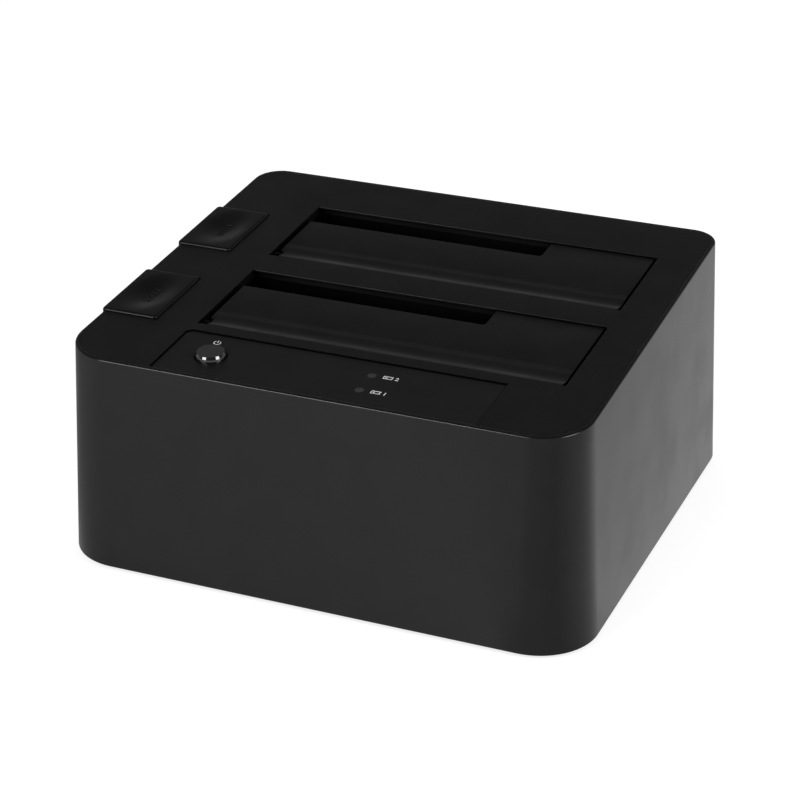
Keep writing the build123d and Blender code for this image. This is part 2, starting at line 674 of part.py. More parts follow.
def guide_rib(x, front, rear):
    """Rib on the well's front wall that keeps the foot of the drive to the rear."""
    top = WELL_FLOOR_TOP + GUIDE_RIB_HEIGHT
    outline = Polyline(
        (front, WELL_UNDERSIDE),
        (rear, WELL_UNDERSIDE),
        (rear, top - GUIDE_RIB_SLOPE),
        (rear - GUIDE_RIB_SLOPE / 2, top),
        (front, top),
        close=True,
    )
    return Pos(x - GUIDE_RIB / 2, 0, 0) * extrude(Plane.YZ * make_face(outline), amount=GUIDE_RIB)


def well_lug(x, y):
    """Lug on the well's side wall, under a boss of the cover."""
    toward = 1 if x < BAY_CENTRE_X else -1
    near, far = x + toward * (LUG_SIZE / 2 + WELL_WALL / 2), x - toward * LUG_SIZE / 2
    low, high = min(near, far), max(near, far)
    half = LUG_SIZE / 2
    top = -COVER_THICKNESS - LUG_BOSS
    return slab(low, high, y - half, y + half, top - LUG_THICKNESS, top)


def button_shelf(y):
    """Shelf on the well's left wall that guides the button's stem and seats its spring."""
    middle = y + EJECT_OFFSET
    half = SHELF_WIDTH / 2
    right = BAY_LEFT - WELL_WALL / 2
    left = STEM_X - SHELF_REACH
    low = SHELF_HEIGHT - SHELF_THICKNESS
    shelf = span_box(left, right, middle - half, middle + half, low, SHELF_HEIGHT)
    drop = BAY_LEFT - WELL_WALL - left
    gusset = Polyline((left, low), (right, low), (right, low - drop / 2), close=True)
    for side in (-1, 1):
        at = middle + side * (half - WELL_WALL / 2) + WELL_WALL / 2
        shelf += Pos(0, at, 0) * extrude(Plane.XZ * make_face(gusset), amount=WELL_WALL)
    return shelf - upright(STEM_X, middle, STEM_RADIUS + STEM_GAP, 0, REACH)


def lever_slot(y):
    """Slot in the well's floor and left wall that the lever swings through."""
    front, rear = lever_span(y)
    right = BAY_LEFT + LEVER_TIP_REACH + LEVER_SLOT_GAP
    front, rear = front - LEVER_SLOT_GAP, rear + LEVER_SLOT_GAP
    slot = span_box(BAY_LEFT - OVERRUN, right, front, rear, 0, WELL_FLOOR_TOP + OVERRUN / 5)
    return slot + span_box(BAY_LEFT - OVERRUN / 2, BAY_LEFT, front, rear, 0, LEVER_NOTCH_TOP)


def bay_flap(y):
    """Hinged dust flap: barrel, valley and plate, with the recess for narrow drives."""
    plate_top = BARREL_RADIUS - BARREL_PROUD - FLAP_SUNK
    plate_bottom = plate_top - FLAP_THICKNESS
    hinge_y, hinge_z = hinge_point(y)
    length = bay_rear(y) + REAR_LIP - hinge_y
    left = BAY_LEFT + FLAP_GAP_LEFT
    right = BAY_RIGHT - FLAP_GAP_RIGHT
    barrel_left = BAY_LEFT + SPRING_BAY
    valley = BARREL_RADIUS + VALLEY_RADIUS
    plate = span_box(left, right, 0, length, plate_bottom, plate_top)
    plate = fillet(plate.edges().filter_by(Axis.X).group_by(Axis.Y)[-1], FLAP_EDGE_ROUND)
    plate -= span_box(left - OVERRUN, barrel_left - FLAP_GAP, -OVERRUN, valley, -OVERRUN, OVERRUN)
    barrel = Cylinder(BARREL_RADIUS, right - barrel_left, align=(Align.CENTER, Align.CENTER, Align.MIN))
    flap = plate + Pos(barrel_left, 0, 0) * Rot(0, 90, 0) * barrel
    rib_pitch = (right - left) / FLAP_RIB_COUNT
    rib_end = length - CUTOUT_DEPTH - REAR_LIP - FLAP_RIB
    for index in range(FLAP_RIB_COUNT):
        x = left + rib_pitch * (index + 1 / 2)
        flap += span_box(x - FLAP_RIB / 2, x + FLAP_RIB / 2, 0, rib_end, plate_bottom - FLAP_RIB_DEPTH, 0)
    inner = flap.edges().filter_by(Axis.X).filter_by(lambda e: 0 < e.center().Y < BARREL_RADIUS)
    inner = inner.filter_by(lambda e: abs(e.center().Z - plate_top) < SEAM)
    flap = fillet(inner, VALLEY_RADIUS)
    cove_radius = (COVE_WIDTH**2 / 4 + COVE_DEPTH**2) / (2 * COVE_DEPTH)
    cove = Pos(BAY_CENTRE_X, valley + COVE_WIDTH / 2, plate_top - COVE_DEPTH + cove_radius)
    flap -= cove * Rot(0, 90, 0) * Cylinder(cove_radius, BAY_WIDTH)
    cut_front = length - REAR_LIP - CUTOUT_DEPTH
    cutter = span_box(left - OVERRUN, CUTOUT_RIGHT, cut_front, length + OVERRUN, -OVERRUN, OVERRUN)
    corner = cutter.edges().filter_by(Axis.Z).group_by(Axis.X)[-1].sort_by(Axis.Y)[0]
    flap -= fillet(corner, CUTOUT_ROUND)
    flap -= Pos(BAY_CENTRE_X, 0, 0) * Rot(0, 90, 0) * Cylinder(HINGE_PIN_RADIUS + RUNNING_GAP, BAY_WIDTH)
    return Location((0, hinge_y, hinge_z), (TILT, 0, 0)) * flap


def flap_pin(y):
    """Steel pin from wall to wall of the well, through the flap's barrel."""
    hinge_y, hinge_z = hinge_point(y)
    pin = Cylinder(HINGE_PIN_RADIUS, BAY_WIDTH + 2 * WELL_WALL)
    pin = chamfer(pin.edges(), HINGE_PIN_RADIUS / 4)
    return Pos(BAY_CENTRE_X, hinge_y, hinge_z) * Rot(0, 90, 0) * pin


def flap_spring(y):
    """Torsion spring round the pin, its legs on the well's front wall and under the flap."""
    hinge_y, hinge_z = hinge_point(y)
    wire = FLAP_SPRING_WIRE
    inner = HINGE_PIN_RADIUS + SEAM
    outer = inner + wire + SEAM
    under_plate = BARREL_RADIUS - BARREL_PROUD - FLAP_SUNK - FLAP_THICKNESS - SEAM
    start = BAY_LEFT + FLAP_SPRING_END_GAP
    end = BAY_LEFT + SPRING_BAY - FLAP_GAP
    length = end - start
    coil = Cylinder(outer, length) - Cylinder(inner, length)
    coil = Pos(start + length / 2, 0, 0) * Rot(0, 90, 0) * coil
    down = span_box(start, start + wire, -outer, wire - outer, -FLAP_SPRING_LEG, 0)
    back = span_box(end - wire, end, outer - wire, FLAP_SPRING_LEG, under_plate - wire, under_plate)
    return Pos(0, hinge_y, hinge_z) * (coil + down + Rot(TILT, 0, 0) * back)


def eject_button(y):
    """Press-down cap with a dished top, a skirt over the case's side and a long stem."""
    middle = y + EJECT_OFFSET
    centre_x = (EJECT_LEFT + EJECT_RIGHT) / 2
    half = EJECT_DEPTH / 2
    underside = EJECT_PROUD - EJECT_CAP
    plan = Pos(centre_x, middle) * RectangleRounded(EJECT_WIDTH, EJECT_DEPTH, EJECT_CORNER)
    cap = sloped(plan, -EJECT_SKIRT, EJECT_PROUD)
    top = cap.faces().filter_by(lambda f: f.normal_at().Z > FLARE)
    cap = fillet(top.edges(), EJECT_ROUND)
    front, rear = middle - half, middle + half
    low, high = front - OVERRUN, rear + OVERRUN
    cap -= slab(SKIRT_INNER_X, EJECT_RIGHT + OVERRUN, low, high, -REACH, -EJECT_INNER_SKIRT)
    cap -= slab(SKIRT_INNER_X, CAP_HOLLOW_LEFT, low, high, -REACH, underside)
    flange_top = -COVER_THICKNESS - EJECT_FLANGE_DROP
    low, high = front - EJECT_FLANGE, rear + EJECT_FLANGE
    cap += slab(CAP_HOLLOW_LEFT, EJECT_RIGHT + EJECT_FLANGE, low, high, -EJECT_INNER_SKIRT, flange_top)
    inner = EJECT_WALL
    cap -= slab(CAP_HOLLOW_LEFT, EJECT_RIGHT - inner, front + inner, rear - inner, -REACH, underside)
    upright_axis = DISH_DEPTH / (1 - DISH_RISE_SHARE)
    spread_share = math.sqrt(1 - DISH_RISE_SHARE**2)
    bowl = scale(Sphere(1), by=(DISH_WIDTH / 2 / spread_share, DISH_LENGTH / 2 / spread_share, upright_axis))
    cap -= on_top(centre_x, middle) * Pos(0, 0, EJECT_PROUD + DISH_RISE_SHARE * upright_axis) * bowl
    crown = cap.faces().filter_by(GeomType.PLANE).sort_by(Axis.Z)[-1]
    cap = cap.fillet(DISH_ROUND, crown.inner_wires()[0].edges())
    return cap + button_stem(middle, top_height(middle) + underside)


def button_stem(middle, top):
    """Cross-bladed stem with a domed foot, from the cap down to the lever."""
    foot = lever_top() + LEVER_CONTACT_GAP
    dome_top = foot + STEM_RADIUS
    stem = upright(STEM_X, middle, STEM_RADIUS, dome_top, top + EJECT_CAP / 2)
    width = STEM_RADIUS
    gap = STEM_BLADE / 2
    for sx, sy in CORNERS:
        x0, x1 = sorted((STEM_X + sx * gap, STEM_X + sx * (gap + width)))
        y0, y1 = sorted((middle + sy * gap, middle + sy * (gap + width)))
        stem -= span_box(x0, x1, y0, y1, dome_top, top)
    return stem + Pos(STEM_X, middle, dome_top) * Sphere(STEM_RADIUS)


def eject_spring(y):
    """Compression spring between the shelf and the cap."""
    middle = y + EJECT_OFFSET
    top = top_height(middle - EJECT_SPRING_RADIUS) + EJECT_PROUD - EJECT_CAP
    outer = upright(STEM_X, middle, EJECT_SPRING_RADIUS, SHELF_HEIGHT, top)
    return outer - upright(STEM_X, middle, EJECT_SPRING_RADIUS - EJECT_SPRING_WIRE, SHELF_HEIGHT, top)


def lever_top():
    """Level of the lever's flat top, where the stem's foot rests."""
    return PIVOT_HEIGHT + LEVER_THICKNESS / 2


def eject_lever(y):
    """Rocker: a flat tail under the stem, a hub, and an arm that turns up into the bay."""
    front, rear = lever_span(y)
    tail = STEM_X - LEVER_TAIL
    tip = BAY_LEFT + LEVER_TIP_REACH
    tip_top = WELL_FLOOR_TOP - LEVER_TIP_SUNK
    half = LEVER_THICKNESS / 2
    neck = tip - LEVER_TIP_LENGTH
    outline = Polyline(
        (tail, PIVOT_HEIGHT - half),
        (neck, PIVOT_HEIGHT - half),
        (tip, tip_top - LEVER_THICKNESS),
        (tip, tip_top),
        (neck + half, tip_top),
        (neck - half, PIVOT_HEIGHT + half),
        (tail, PIVOT_HEIGHT + half),
        close=True,
    )
    arm = extrude(Plane.XZ * make_face(outline), amount=rear - front)
    arm = fillet(arm.edges().filter_by(Axis.Y).group_by(Axis.X)[0], half / 2)
    across = Pos(PIVOT_X, (front + rear) / 2, PIVOT_HEIGHT) * Rot(90, 0, 0)
    lever = Pos(0, rear, 0) * arm + across * Cylinder(LEVER_HUB, rear - front)
    return lever - across * Cylinder(LEVER_PIN_RADIUS + RUNNING_GAP, REACH)


def lever_post_faces(y):
    """Y limits of the two posts that carry the lever's pin."""
    front, rear = lever_span(y)
    front, rear = front - LEVER_POST_GAP, rear + LEVER_POST_GAP
    return ((front - LEVER_POST, front), (rear, rear + LEVER_POST))


def lever_pin(y):
    """Pin that the lever rocks on."""
    faces = lever_post_faces(y)
    low, high = faces[0][0], faces[1][1]
    pin = chamfer(Cylinder(LEVER_PIN_RADIUS, high - low).edges(), LEVER_PIN_RADIUS / 4)
    return Pos(PIVOT_X, (low + high) / 2, PIVOT_HEIGHT) * Rot(90, 0, 0) * pin


def lever_posts(y):
    """Round-topped posts on the tray for the lever's pin."""
    posts = Part()
    for low, high in lever_post_faces(y):
        half = LEVER_POST_WIDTH / 2
        post = span_box(PIVOT_X - half, PIVOT_X + half, low, high, TRAY_UNDERSIDE, PIVOT_HEIGHT)
        at = Pos(PIVOT_X, (low + high) / 2, PIVOT_HEIGHT) * Rot(90, 0, 0)
        post += at * Cylinder(half, high - low)
        posts += post - at * Cylinder(LEVER_PIN_RADIUS + SEAT_GAP, REACH)
    return posts


def board_rear():
    """Rear edge of the main board, under the ports."""
    return wall_y(BOARD_TOP) - CASE_WALL - DRIVE_PLAY


def board_screw_places():
    """Centres of the main board's screws."""
    inset = BOARD_SCREW_INSET
    xs = (BOARD_LEFT + inset, BOARD_RIGHT - inset)
    ys = (BOARD_FRONT + inset, board_rear() - inset)
    return [(x, y) for x in xs for y in ys]


def base_tray():
    """Floor of the dock: lip, screw bosses, standoffs, lever posts, vents and foot seats."""
    floor = flared_block(RIM_WIDTH + SEAM, TRAY_UNDERSIDE, TRAY_TOP)
    lip = flared_block(CASE_WALL + SEAM, TRAY_UNDERSIDE, TRAY_TOP + TRAY_LIP_HEIGHT)
    above = TRAY_TOP + TRAY_LIP_HEIGHT + OVERRUN
    lip -= flared_block(CASE_WALL + SEAM + TRAY_LIP, TRAY_UNDERSIDE - OVERRUN, above)
    tray = floor + lip
    for sx, sy in CORNERS:
        tray += upright(sx * SCREW_X, sy * SCREW_Y, BOSS_RADIUS, TRAY_UNDERSIDE, BOSS_TOP)
    for x, y in board_screw_places():
        tray += upright(x, y, STANDOFF_RADIUS, TRAY_UNDERSIDE, BOARD_UNDERSIDE)
    for y in BAYS.values():
        tray += lever_posts(y)
    for sx, sy in CORNERS:
        tray -= upright(sx * FOOT_X, sy * FOOT_Y, FOOT_RADIUS + FOOT_SIDE_GAP, 0, TRAY_UNDERSIDE + FOOT_SEAT)
        x, y = sx * SCREW_X, sy * SCREW_Y
        head_top = TRAY_UNDERSIDE + BASE_SCREW_SUNK + BASE_SCREW_HEAD_HEIGHT
        tray -= upright(x, y, BASE_SCREW_HEAD + SEAM, 0, head_top)
        tray -= upright(x, y, BASE_SCREW_RADIUS + SEAT_GAP, 0, BOSS_TOP + OVERRUN)
    for x, y in board_screw_places():
        depth = BOARD_TOP - SMALL_SCREW_LENGTH - SCREW_END_GAP
        tray -= upright(x, y, SMALL_SCREW_RADIUS + SEAT_GAP, depth, BOARD_TOP)
    slot = SlotOverall(VENT_LENGTH, VENT_WIDTH, rotation=90)
    for row in (-1, 1):
        for index in range(VENT_COUNT):
            x = (index - (VENT_COUNT - 1) / 2) * VENT_PITCH
            tray -= Pos(x, row * VENT_ROW_Y, 0) * extrude(slot, amount=TRAY_TOP + OVERRUN)
    return tray


def rubber_feet():
    """Four round feet seated in the tray."""
    feet = []
    for sx, sy in CORNERS:
        foot = disc(FOOT_RADIUS, 0, TRAY_UNDERSIDE + FOOT_SEAT)
        foot = fillet(foot.edges().sort_by(Axis.Z)[0], FOOT_ROUND)
        feet.append(Pos(sx * FOOT_X, sy * FOOT_Y, 0) * foot)
    return feet


def base_screws():
    """Screws up through the tray into the cover's posts."""
    one = screw(BASE_SCREW_RADIUS, BASE_SCREW_LENGTH, BASE_SCREW_HEAD, BASE_SCREW_HEAD_HEIGHT)
    level = TRAY_UNDERSIDE + BASE_SCREW_SUNK
    return [Pos(sx * SCREW_X, sy * SCREW_Y, level) * one for sx, sy in CORNERS]


def small_screw():
    """Small screw for the boards and the wells."""
    return screw(SMALL_SCREW_RADIUS, SMALL_SCREW_LENGTH, SMALL_SCREW_HEAD, SMALL_SCREW_HEAD_HEIGHT)


def board_screws():
    """Screws down through the main board into its standoffs."""
    level = BOARD_TOP + SMALL_SCREW_HEAD_HEIGHT
    return [Pos(x, y, level) * Rot(180, 0, 0) * small_screw() for x, y in board_screw_places()]


def well_screws():
    """Screws up through the wells' lugs into the cover."""
    low = -COVER_THICKNESS - LUG_BOSS - LUG_THICKNESS - SMALL_SCREW_HEAD_HEIGHT
    places = [place for y in BAYS.values() for place in lug_places(y)]
    return [on_top(x, y) * Pos(0, 0, low) * small_screw() for x, y in places]


def small_board_screws():
    """Screws up through the small board into the cover."""
    low = SMALL_BOARD_TOP - SMALL_BOARD_THICKNESS - SMALL_SCREW_HEAD_HEIGHT
    return [on_top(x, SMALL_BOARD_SCREW_Y) * Pos(0, 0, low) * small_screw() for x in SMALL_BOARD_SCREW_X]


def main_board():
    """Circuit board across the floor of the dock."""
    width, depth = BOARD_RIGHT - BOARD_LEFT, board_rear() - BOARD_FRONT
    centre = Pos((BOARD_LEFT + BOARD_RIGHT) / 2, (BOARD_FRONT + board_rear()) / 2, BOARD_UNDERSIDE)
    board = centre * extrude(RectangleRounded(width, depth, BOARD_CORNER), amount=BOARD_THICKNESS)
    for x, y in board_screw_places():
        board -= upright(x, y, SMALL_SCREW_RADIUS + SEAT_GAP, 0, REACH)
    return board


def tongue_lengths():
    """Lengths of the data slot and the power slot of a drive socket."""
    data = DATA_CONTACTS * CONTACT_PITCH + CONTACT_PITCH
    power = POWER_CONTACTS * CONTACT_PITCH + CONTACT_PITCH
    return data, power


def tongue_starts(x):
    """Left ends of the power slot and the data slot of a socket centred at x."""
    data, power = tongue_lengths()
    start = x - (data + power + TONGUE_GAP) / 2
    return start, start + power + TONGUE_GAP


def sata_connector(y):
    """Drive socket: flanged body with end guides and two keyed slots."""
    sx, sy = socket_place(y)
    top = BOARD_TOP + SOCKET_HEIGHT
    half = SOCKET_LENGTH / 2
    half_w = SOCKET_WIDTH / 2
    body = span_box(sx - half, sx + half, sy - half_w, sy + half_w, BOARD_TOP, top)
    flange = SOCKET_FLANGE / 2
    ledge = BOARD_TOP + SOCKET_FLANGE_HEIGHT
    body += span_box(sx - half, sx + half, sy - flange, sy + flange, BOARD_TOP, ledge)
    low = top - SOCKET_SLOT_DEPTH
    for side in (-1, 1):
        guide = sx + side * (half - SOCKET_END_GUIDE - SOCKET_END_SLOT / 2)
        gap = SOCKET_END_SLOT / 2
        body -= span_box(guide - gap, guide + gap, sy - flange, sy + flange, low, top + OVERRUN)
    data, power = tongue_lengths()
    for start, length in zip(tongue_starts(sx), (power, data)):
        slot = TONGUE_THICKNESS / 2
        body -= span_box(start, start + length, sy - slot, sy + slot, low, top + OVERRUN)
        key = span_box(start, start + TONGUE_KEY_THICKNESS, sy - slot - TONGUE_KEY, sy, low, top + OVERRUN)
        body -= key
    return body


def sata_contacts(y):
    """Spring contacts along one face of the socket's slots."""
    sx, sy = socket_place(y)
    face = sy + TONGUE_THICKNESS / 2
    low = BOARD_TOP + SOCKET_HEIGHT - SOCKET_SLOT_DEPTH
    half = CONTACT_WIDTH / 2
    blade = span_box(-half, half, face - CONTACT_THICKNESS, face, low, low + CONTACT_HEIGHT)
    blades = []
    for start, count in zip(tongue_starts(sx), (POWER_CONTACTS, DATA_CONTACTS)):
        for index in range(count):
            blades.append(Pos(start + CONTACT_PITCH * (index + 1), 0, 0) * blade)
    return blades


def usb_face():
    """Y of the data port's mouth."""
    return wall_y(BOARD_TOP + USB_HEIGHT / 2) - PORT_RECESS


def usb_outline(extra):
    """Stepped mouth of the data port, grown by an amount all round."""
    lower = Rectangle(USB_LOWER_WIDTH + 2 * extra, USB_LOWER_HEIGHT + 2 * extra)
    upper = Rectangle(USB_UPPER_WIDTH + 2 * extra, USB_UPPER_HEIGHT + 2 * extra)
    return lower + Pos(0, (USB_LOWER_HEIGHT + USB_UPPER_HEIGHT) / 2) * upper


def usb_port():
    """Metal shell of the data port, with its stepped mouth."""
    face = usb_face()
    side = USB_WIDTH / 2
    shell = span_box(USB_X - side, USB_X + side, face - USB_LENGTH, face, BOARD_TOP, BOARD_TOP + USB_HEIGHT)
    shell = fillet(shell.edges().filter_by(Axis.Y).group_by(Axis.Z)[-1], USB_SHELL)
    mouth = Plane.XZ * usb_outline(0)
    middle = BOARD_TOP + USB_FLOOR + USB_LOWER_HEIGHT / 2
    shell -= Pos(USB_X, face + OVERRUN, middle) * extrude(mouth, amount=USB_CAVITY + OVERRUN)
    return shell


def usb_tongue():
    """Insulating tongues inside the data port."""
    back = usb_face() - USB_CAVITY
    front = back + USB_TONGUE_LENGTH
    middle = BOARD_TOP + USB_FLOOR + USB_LOWER_HEIGHT / 2
    half = USB_TONGUE_WIDTH / 2
    low, high = middle - USB_TONGUE_HEIGHT / 2, middle + USB_TONGUE_HEIGHT / 2
    lower = span_box(USB_X - half, USB_X + half, back, front, low, high)
    upper_half = USB_UPPER_TONGUE_WIDTH / 2
    base = BOARD_TOP + USB_FLOOR + USB_LOWER_HEIGHT + USB_UPPER_HEIGHT / 2
    rise = USB_UPPER_TONGUE_HEIGHT / 2
    upper = span_box(USB_X - upper_half, USB_X + upper_half, back, front, base - rise, base + rise)
    return [lower, upper]


def jack_face():
    """Y of the power socket's mouth."""
    return wall_y(BOARD_TOP + JACK_AXIS_HEIGHT) - PORT_RECESS


def power_jack():
    """Power socket: a square body and a round nose through the rear wall."""
    face = jack_face()
    side = JACK_WIDTH / 2
    shoulder = face - JACK_NOSE
    back = shoulder - JACK_LENGTH
    body = span_box(JACK_X - side, JACK_X + side, back, shoulder, BOARD_TOP, BOARD_TOP + JACK_HEIGHT)
    along = Pos(JACK_X, face, BOARD_TOP + JACK_AXIS_HEIGHT) * Rot(90, 0, 0)
    body += along * disc(JACK_NOSE_RADIUS, 0, JACK_NOSE + OVERRUN)
    return body - along * disc(JACK_BORE_RADIUS, -OVERRUN, JACK_BORE)


def jack_pin():
    """Centre pin of the power socket."""
    along = Pos(JACK_X, jack_face() - JACK_BORE, BOARD_TOP + JACK_AXIS_HEIGHT) * Rot(-90, 0, 0)
    pin = disc(JACK_PIN_RADIUS, 0, JACK_PIN_LENGTH)
    return along * fillet(pin.edges().sort_by(Axis.Z)[-1], JACK_PIN_RADIUS / 2)


def gull_chip(x, y, size):
    """Flat chip with legs on its four sides."""
    half = size / 2
    chip = span_box(x - half, x + half, y - half, y + half, BOARD_TOP, BOARD_TOP + CHIP_HEIGHT)
    chip = chamfer(chip.edges().filter_by(Axis.Z), CHIP_LEG_HEIGHT)
    leg = half + CHIP_LEG_REACH
    for index in range(CHIP_LEG_COUNT):
        at = (index - (CHIP_LEG_COUNT - 1) / 2) * CHIP_LEG_PITCH
        wide = CHIP_LEG_WIDTH / 2
        top = BOARD_TOP + CHIP_LEG_HEIGHT
        chip += span_box(x - leg, x + leg, y + at - wide, y + at + wide, BOARD_TOP, top)
        chip += span_box(x + at - wide, x + at + wide, y - leg, y + leg, BOARD_TOP, top)
    return chip


def chip_place():
    """Place of the bridge chip, between the two bays and clear of the sockets' ends."""
    socket_end = socket_place(FRONT_BAY_Y)[0] + SOCKET_LENGTH / 2
    x = socket_end + DRIVE_PLAY + CHIP_LEG_REACH + CHIP_SIZE / 2
    return x, FRONT_BAY_Y + BAY_PITCH / 2


def bridge_chip():
    """Chip that joins the data port to the two drive sockets."""
    x, y = chip_place()
    return gull_chip(x, y, CHIP_SIZE)


def inductors():
    """Moulded coils of the supply circuits, in a row from front to rear beside the chip."""
    x, y = chip_place()
    coil = extrude(RectangleRounded(COIL_SIZE, COIL_SIZE, COIL_ROUND), amount=COIL_HEIGHT)
    coil = chamfer(coil.faces().sort_by(Axis.Z)[-1].edges(), COIL_ROUND / 4)
    x += CHIP_SIZE / 2 + 2 * CHIP_LEG_REACH + COIL_SIZE / 2
    pitch = COIL_SIZE + CHIP_LEG_REACH
    first = y - pitch * (COIL_COUNT - 1) / 2
    return [Pos(x, first + n * pitch, BOARD_TOP) * coil for n in range(COIL_COUNT)]


def can_row():
    """Y of the can capacitors, behind the rear well."""
    return well_rear(BAYS["rear"]) + WELL_WALL + CAN_BASE


def capacitors():
    """Can capacitors of the supply, on square bases."""
    base = extrude(Rectangle(CAN_BASE, CAN_BASE), amount=CAN_BASE_HEIGHT)
    base = chamfer(base.edges().filter_by(Axis.Z).group_by(Axis.Y)[0], CAN_BASE_HEIGHT)
    can = disc(CAN_RADIUS, 0, CAN_HEIGHT)
    can = base + fillet(can.edges().sort_by(Axis.Z)[-1], CAN_BASE_HEIGHT / 2)
    pitch = CAN_BASE + CAN_BASE_HEIGHT
    return [Pos(USB_X - USB_WIDTH - n * pitch, can_row(), BOARD_TOP) * can for n in range(CAN_COUNT)]


def crystal():
    """Metal-canned crystal beside the chip."""
    x, y = chip_place()
    at = Pos(x - CHIP_SIZE - CRYSTAL_WIDTH, y, BOARD_TOP)
    can = extrude(SlotOverall(CRYSTAL_LENGTH, CRYSTAL_WIDTH), amount=CRYSTAL_HEIGHT)
    return at * fillet(can.edges().group_by(Axis.Z)[-1], CRYSTAL_HEIGHT / 4)


def switch_board():
    """Small board under the control panel."""
    width = SMALL_BOARD_RIGHT - SMALL_BOARD_LEFT
    depth = SMALL_BOARD_REAR - SMALL_BOARD_FRONT
    centre = Pos((SMALL_BOARD_LEFT + SMALL_BOARD_RIGHT) / 2, (SMALL_BOARD_FRONT + SMALL_BOARD_REAR) / 2)
    plan = centre * RectangleRounded(width, depth, SMALL_BOARD_THICKNESS)
    board = sloped(plan, SMALL_BOARD_TOP - SMALL_BOARD_THICKNESS, SMALL_BOARD_TOP)
    for x in SMALL_BOARD_SCREW_X:
        board -= on_top(x, SMALL_BOARD_SCREW_Y) * disc(SMALL_SCREW_RADIUS + SEAT_GAP, -REACH / 4, 0)
    return board


def power_switch():
    """Push switch on the small board, with a well for its plunger."""
    half = SWITCH_SIZE / 2
    top = SMALL_BOARD_TOP + SWITCH_HEIGHT
    body = span_box(-half, half, -half, half, SMALL_BOARD_TOP, top)
    body = chamfer(body.edges().filter_by(Axis.Z), SWITCH_SIZE / 8)
    body -= disc(PLUNGER_RADIUS + SEAT_GAP + RUNNING_GAP, top - PLUNGER_SEAT - POWER_TRAVEL, top + OVERRUN)
    return on_top(POWER_X, POWER_Y) * body


def plunger_top():
    """Height of the plunger's top, below the cover's top."""
    return SMALL_BOARD_TOP + SWITCH_HEIGHT + PLUNGER_HEIGHT


def switch_plunger():
    """Round plunger that the power button pushes."""
    low = SMALL_BOARD_TOP + SWITCH_HEIGHT - PLUNGER_SEAT
    return on_top(POWER_X, POWER_Y) * disc(PLUNGER_RADIUS, low + RUNNING_GAP, plunger_top())


def power_button():
    """Round button: chamfered cap, flange under the panel and a short stem."""
    base = POWER_RADIUS
    flange_top = PANEL_UNDERSIDE - EJECT_FLANGE_DROP
    flange_low = flange_top - POWER_FLANGE_THICKNESS
    shoulder = POWER_PROUD - POWER_CHAMFER_HEIGHT
    outline = Polyline(
        (0, plunger_top()),
        (POWER_STEM_RADIUS, plunger_top()),
        (POWER_STEM_RADIUS, flange_low),
        (base + POWER_FLANGE, flange_low),
        (base + POWER_FLANGE, flange_top),
        (base, flange_top),
        (base, shoulder),
        (POWER_TOP_RADIUS, POWER_PROUD),
        (0, POWER_PROUD),
        close=True,
    )
    return on_top(POWER_X, POWER_Y) * revolve(Plane.XZ * make_face(outline), Axis.Z)


def light_pipes():
    """Clear rods from the indicators on the small board to the panel's face."""
    pipes = []
    for y in LAMP_YS:
        low = SMALL_BOARD_TOP + LED_HEIGHT + LAMP_LED_GAP
        rod = disc(LAMP_RADIUS, low, -PANEL_SUNK)
        flange_top = -COVER_THICKNESS
        rod += disc(LAMP_RADIUS + LAMP_FLANGE, flange_top - LAMP_FLANGE_THICKNESS, flange_top)
        pipes.append(on_top(LAMP_X, y) * rod)
    return pipes


def status_leds():
    """Indicator lamps on the small board."""
    half = LED_SIZE / 2
    lamp = span_box(-half, half, -half, half, SMALL_BOARD_TOP, SMALL_BOARD_TOP + LED_HEIGHT)
    return [on_top(LAMP_X, y) * lamp for y in LAMP_YS]


def small_board_underside(y):
    """Level of the small board's lower face at y."""
    return top_height(y) + (SMALL_BOARD_TOP - SMALL_BOARD_THICKNESS) * UPRIGHT_SHARE


def lead_sockets():
    """Headers on the two boards that the internal lead plugs into."""
    half_x, half_y = HEADER_LENGTH / 2, HEADER_WIDTH / 2
    plan = (HEADER_X - half_x, HEADER_X + half_x, HEADER_Y - half_y, HEADER_Y + half_y)
    under = SMALL_BOARD_TOP - SMALL_BOARD_THICKNESS
    lower = span_box(*plan, BOARD_TOP, BOARD_TOP + HEADER_HEIGHT)
    return [lower, slab(*plan, under - HEADER_HEIGHT, under)]


def board_lead():
    """Flat lead between the two headers, bowed towards the bay."""
    low = BOARD_TOP + HEADER_HEIGHT
    high = small_board_underside(HEADER_Y - LEAD_THICKNESS / 2) - HEADER_HEIGHT * UPRIGHT_SHARE
    bow = HEADER_Y + LEAD_OFFSET
    path = FilletPolyline(
        (HEADER_Y, low),
        (HEADER_Y, low + LEAD_STRAIGHT),
        (bow, low + 2 * LEAD_STRAIGHT),
        (bow, high - 2 * LEAD_STRAIGHT),
        (HEADER_Y, high - LEAD_STRAIGHT),
        (HEADER_Y, high),
        radius=LEAD_BEND,
    )
    strip = trace(path, line_width=LEAD_THICKNESS)
    left = HEADER_X - LEAD_WIDTH / 2
    lead = Pos(left, 0, 0) * extrude(Plane.YZ * strip, amount=LEAD_WIDTH)
    return lead & span_box(-REACH, REACH, -REACH, REACH, low, high)


def save(name, shape):
    """Write one sub-part, a shape or a list of shapes, to its own file."""
    solids = shape if isinstance(shape, list) else [shape]
    export_step(Compound([solid for item in solids for solid in item.solids()]), f"parts/{name}.step")


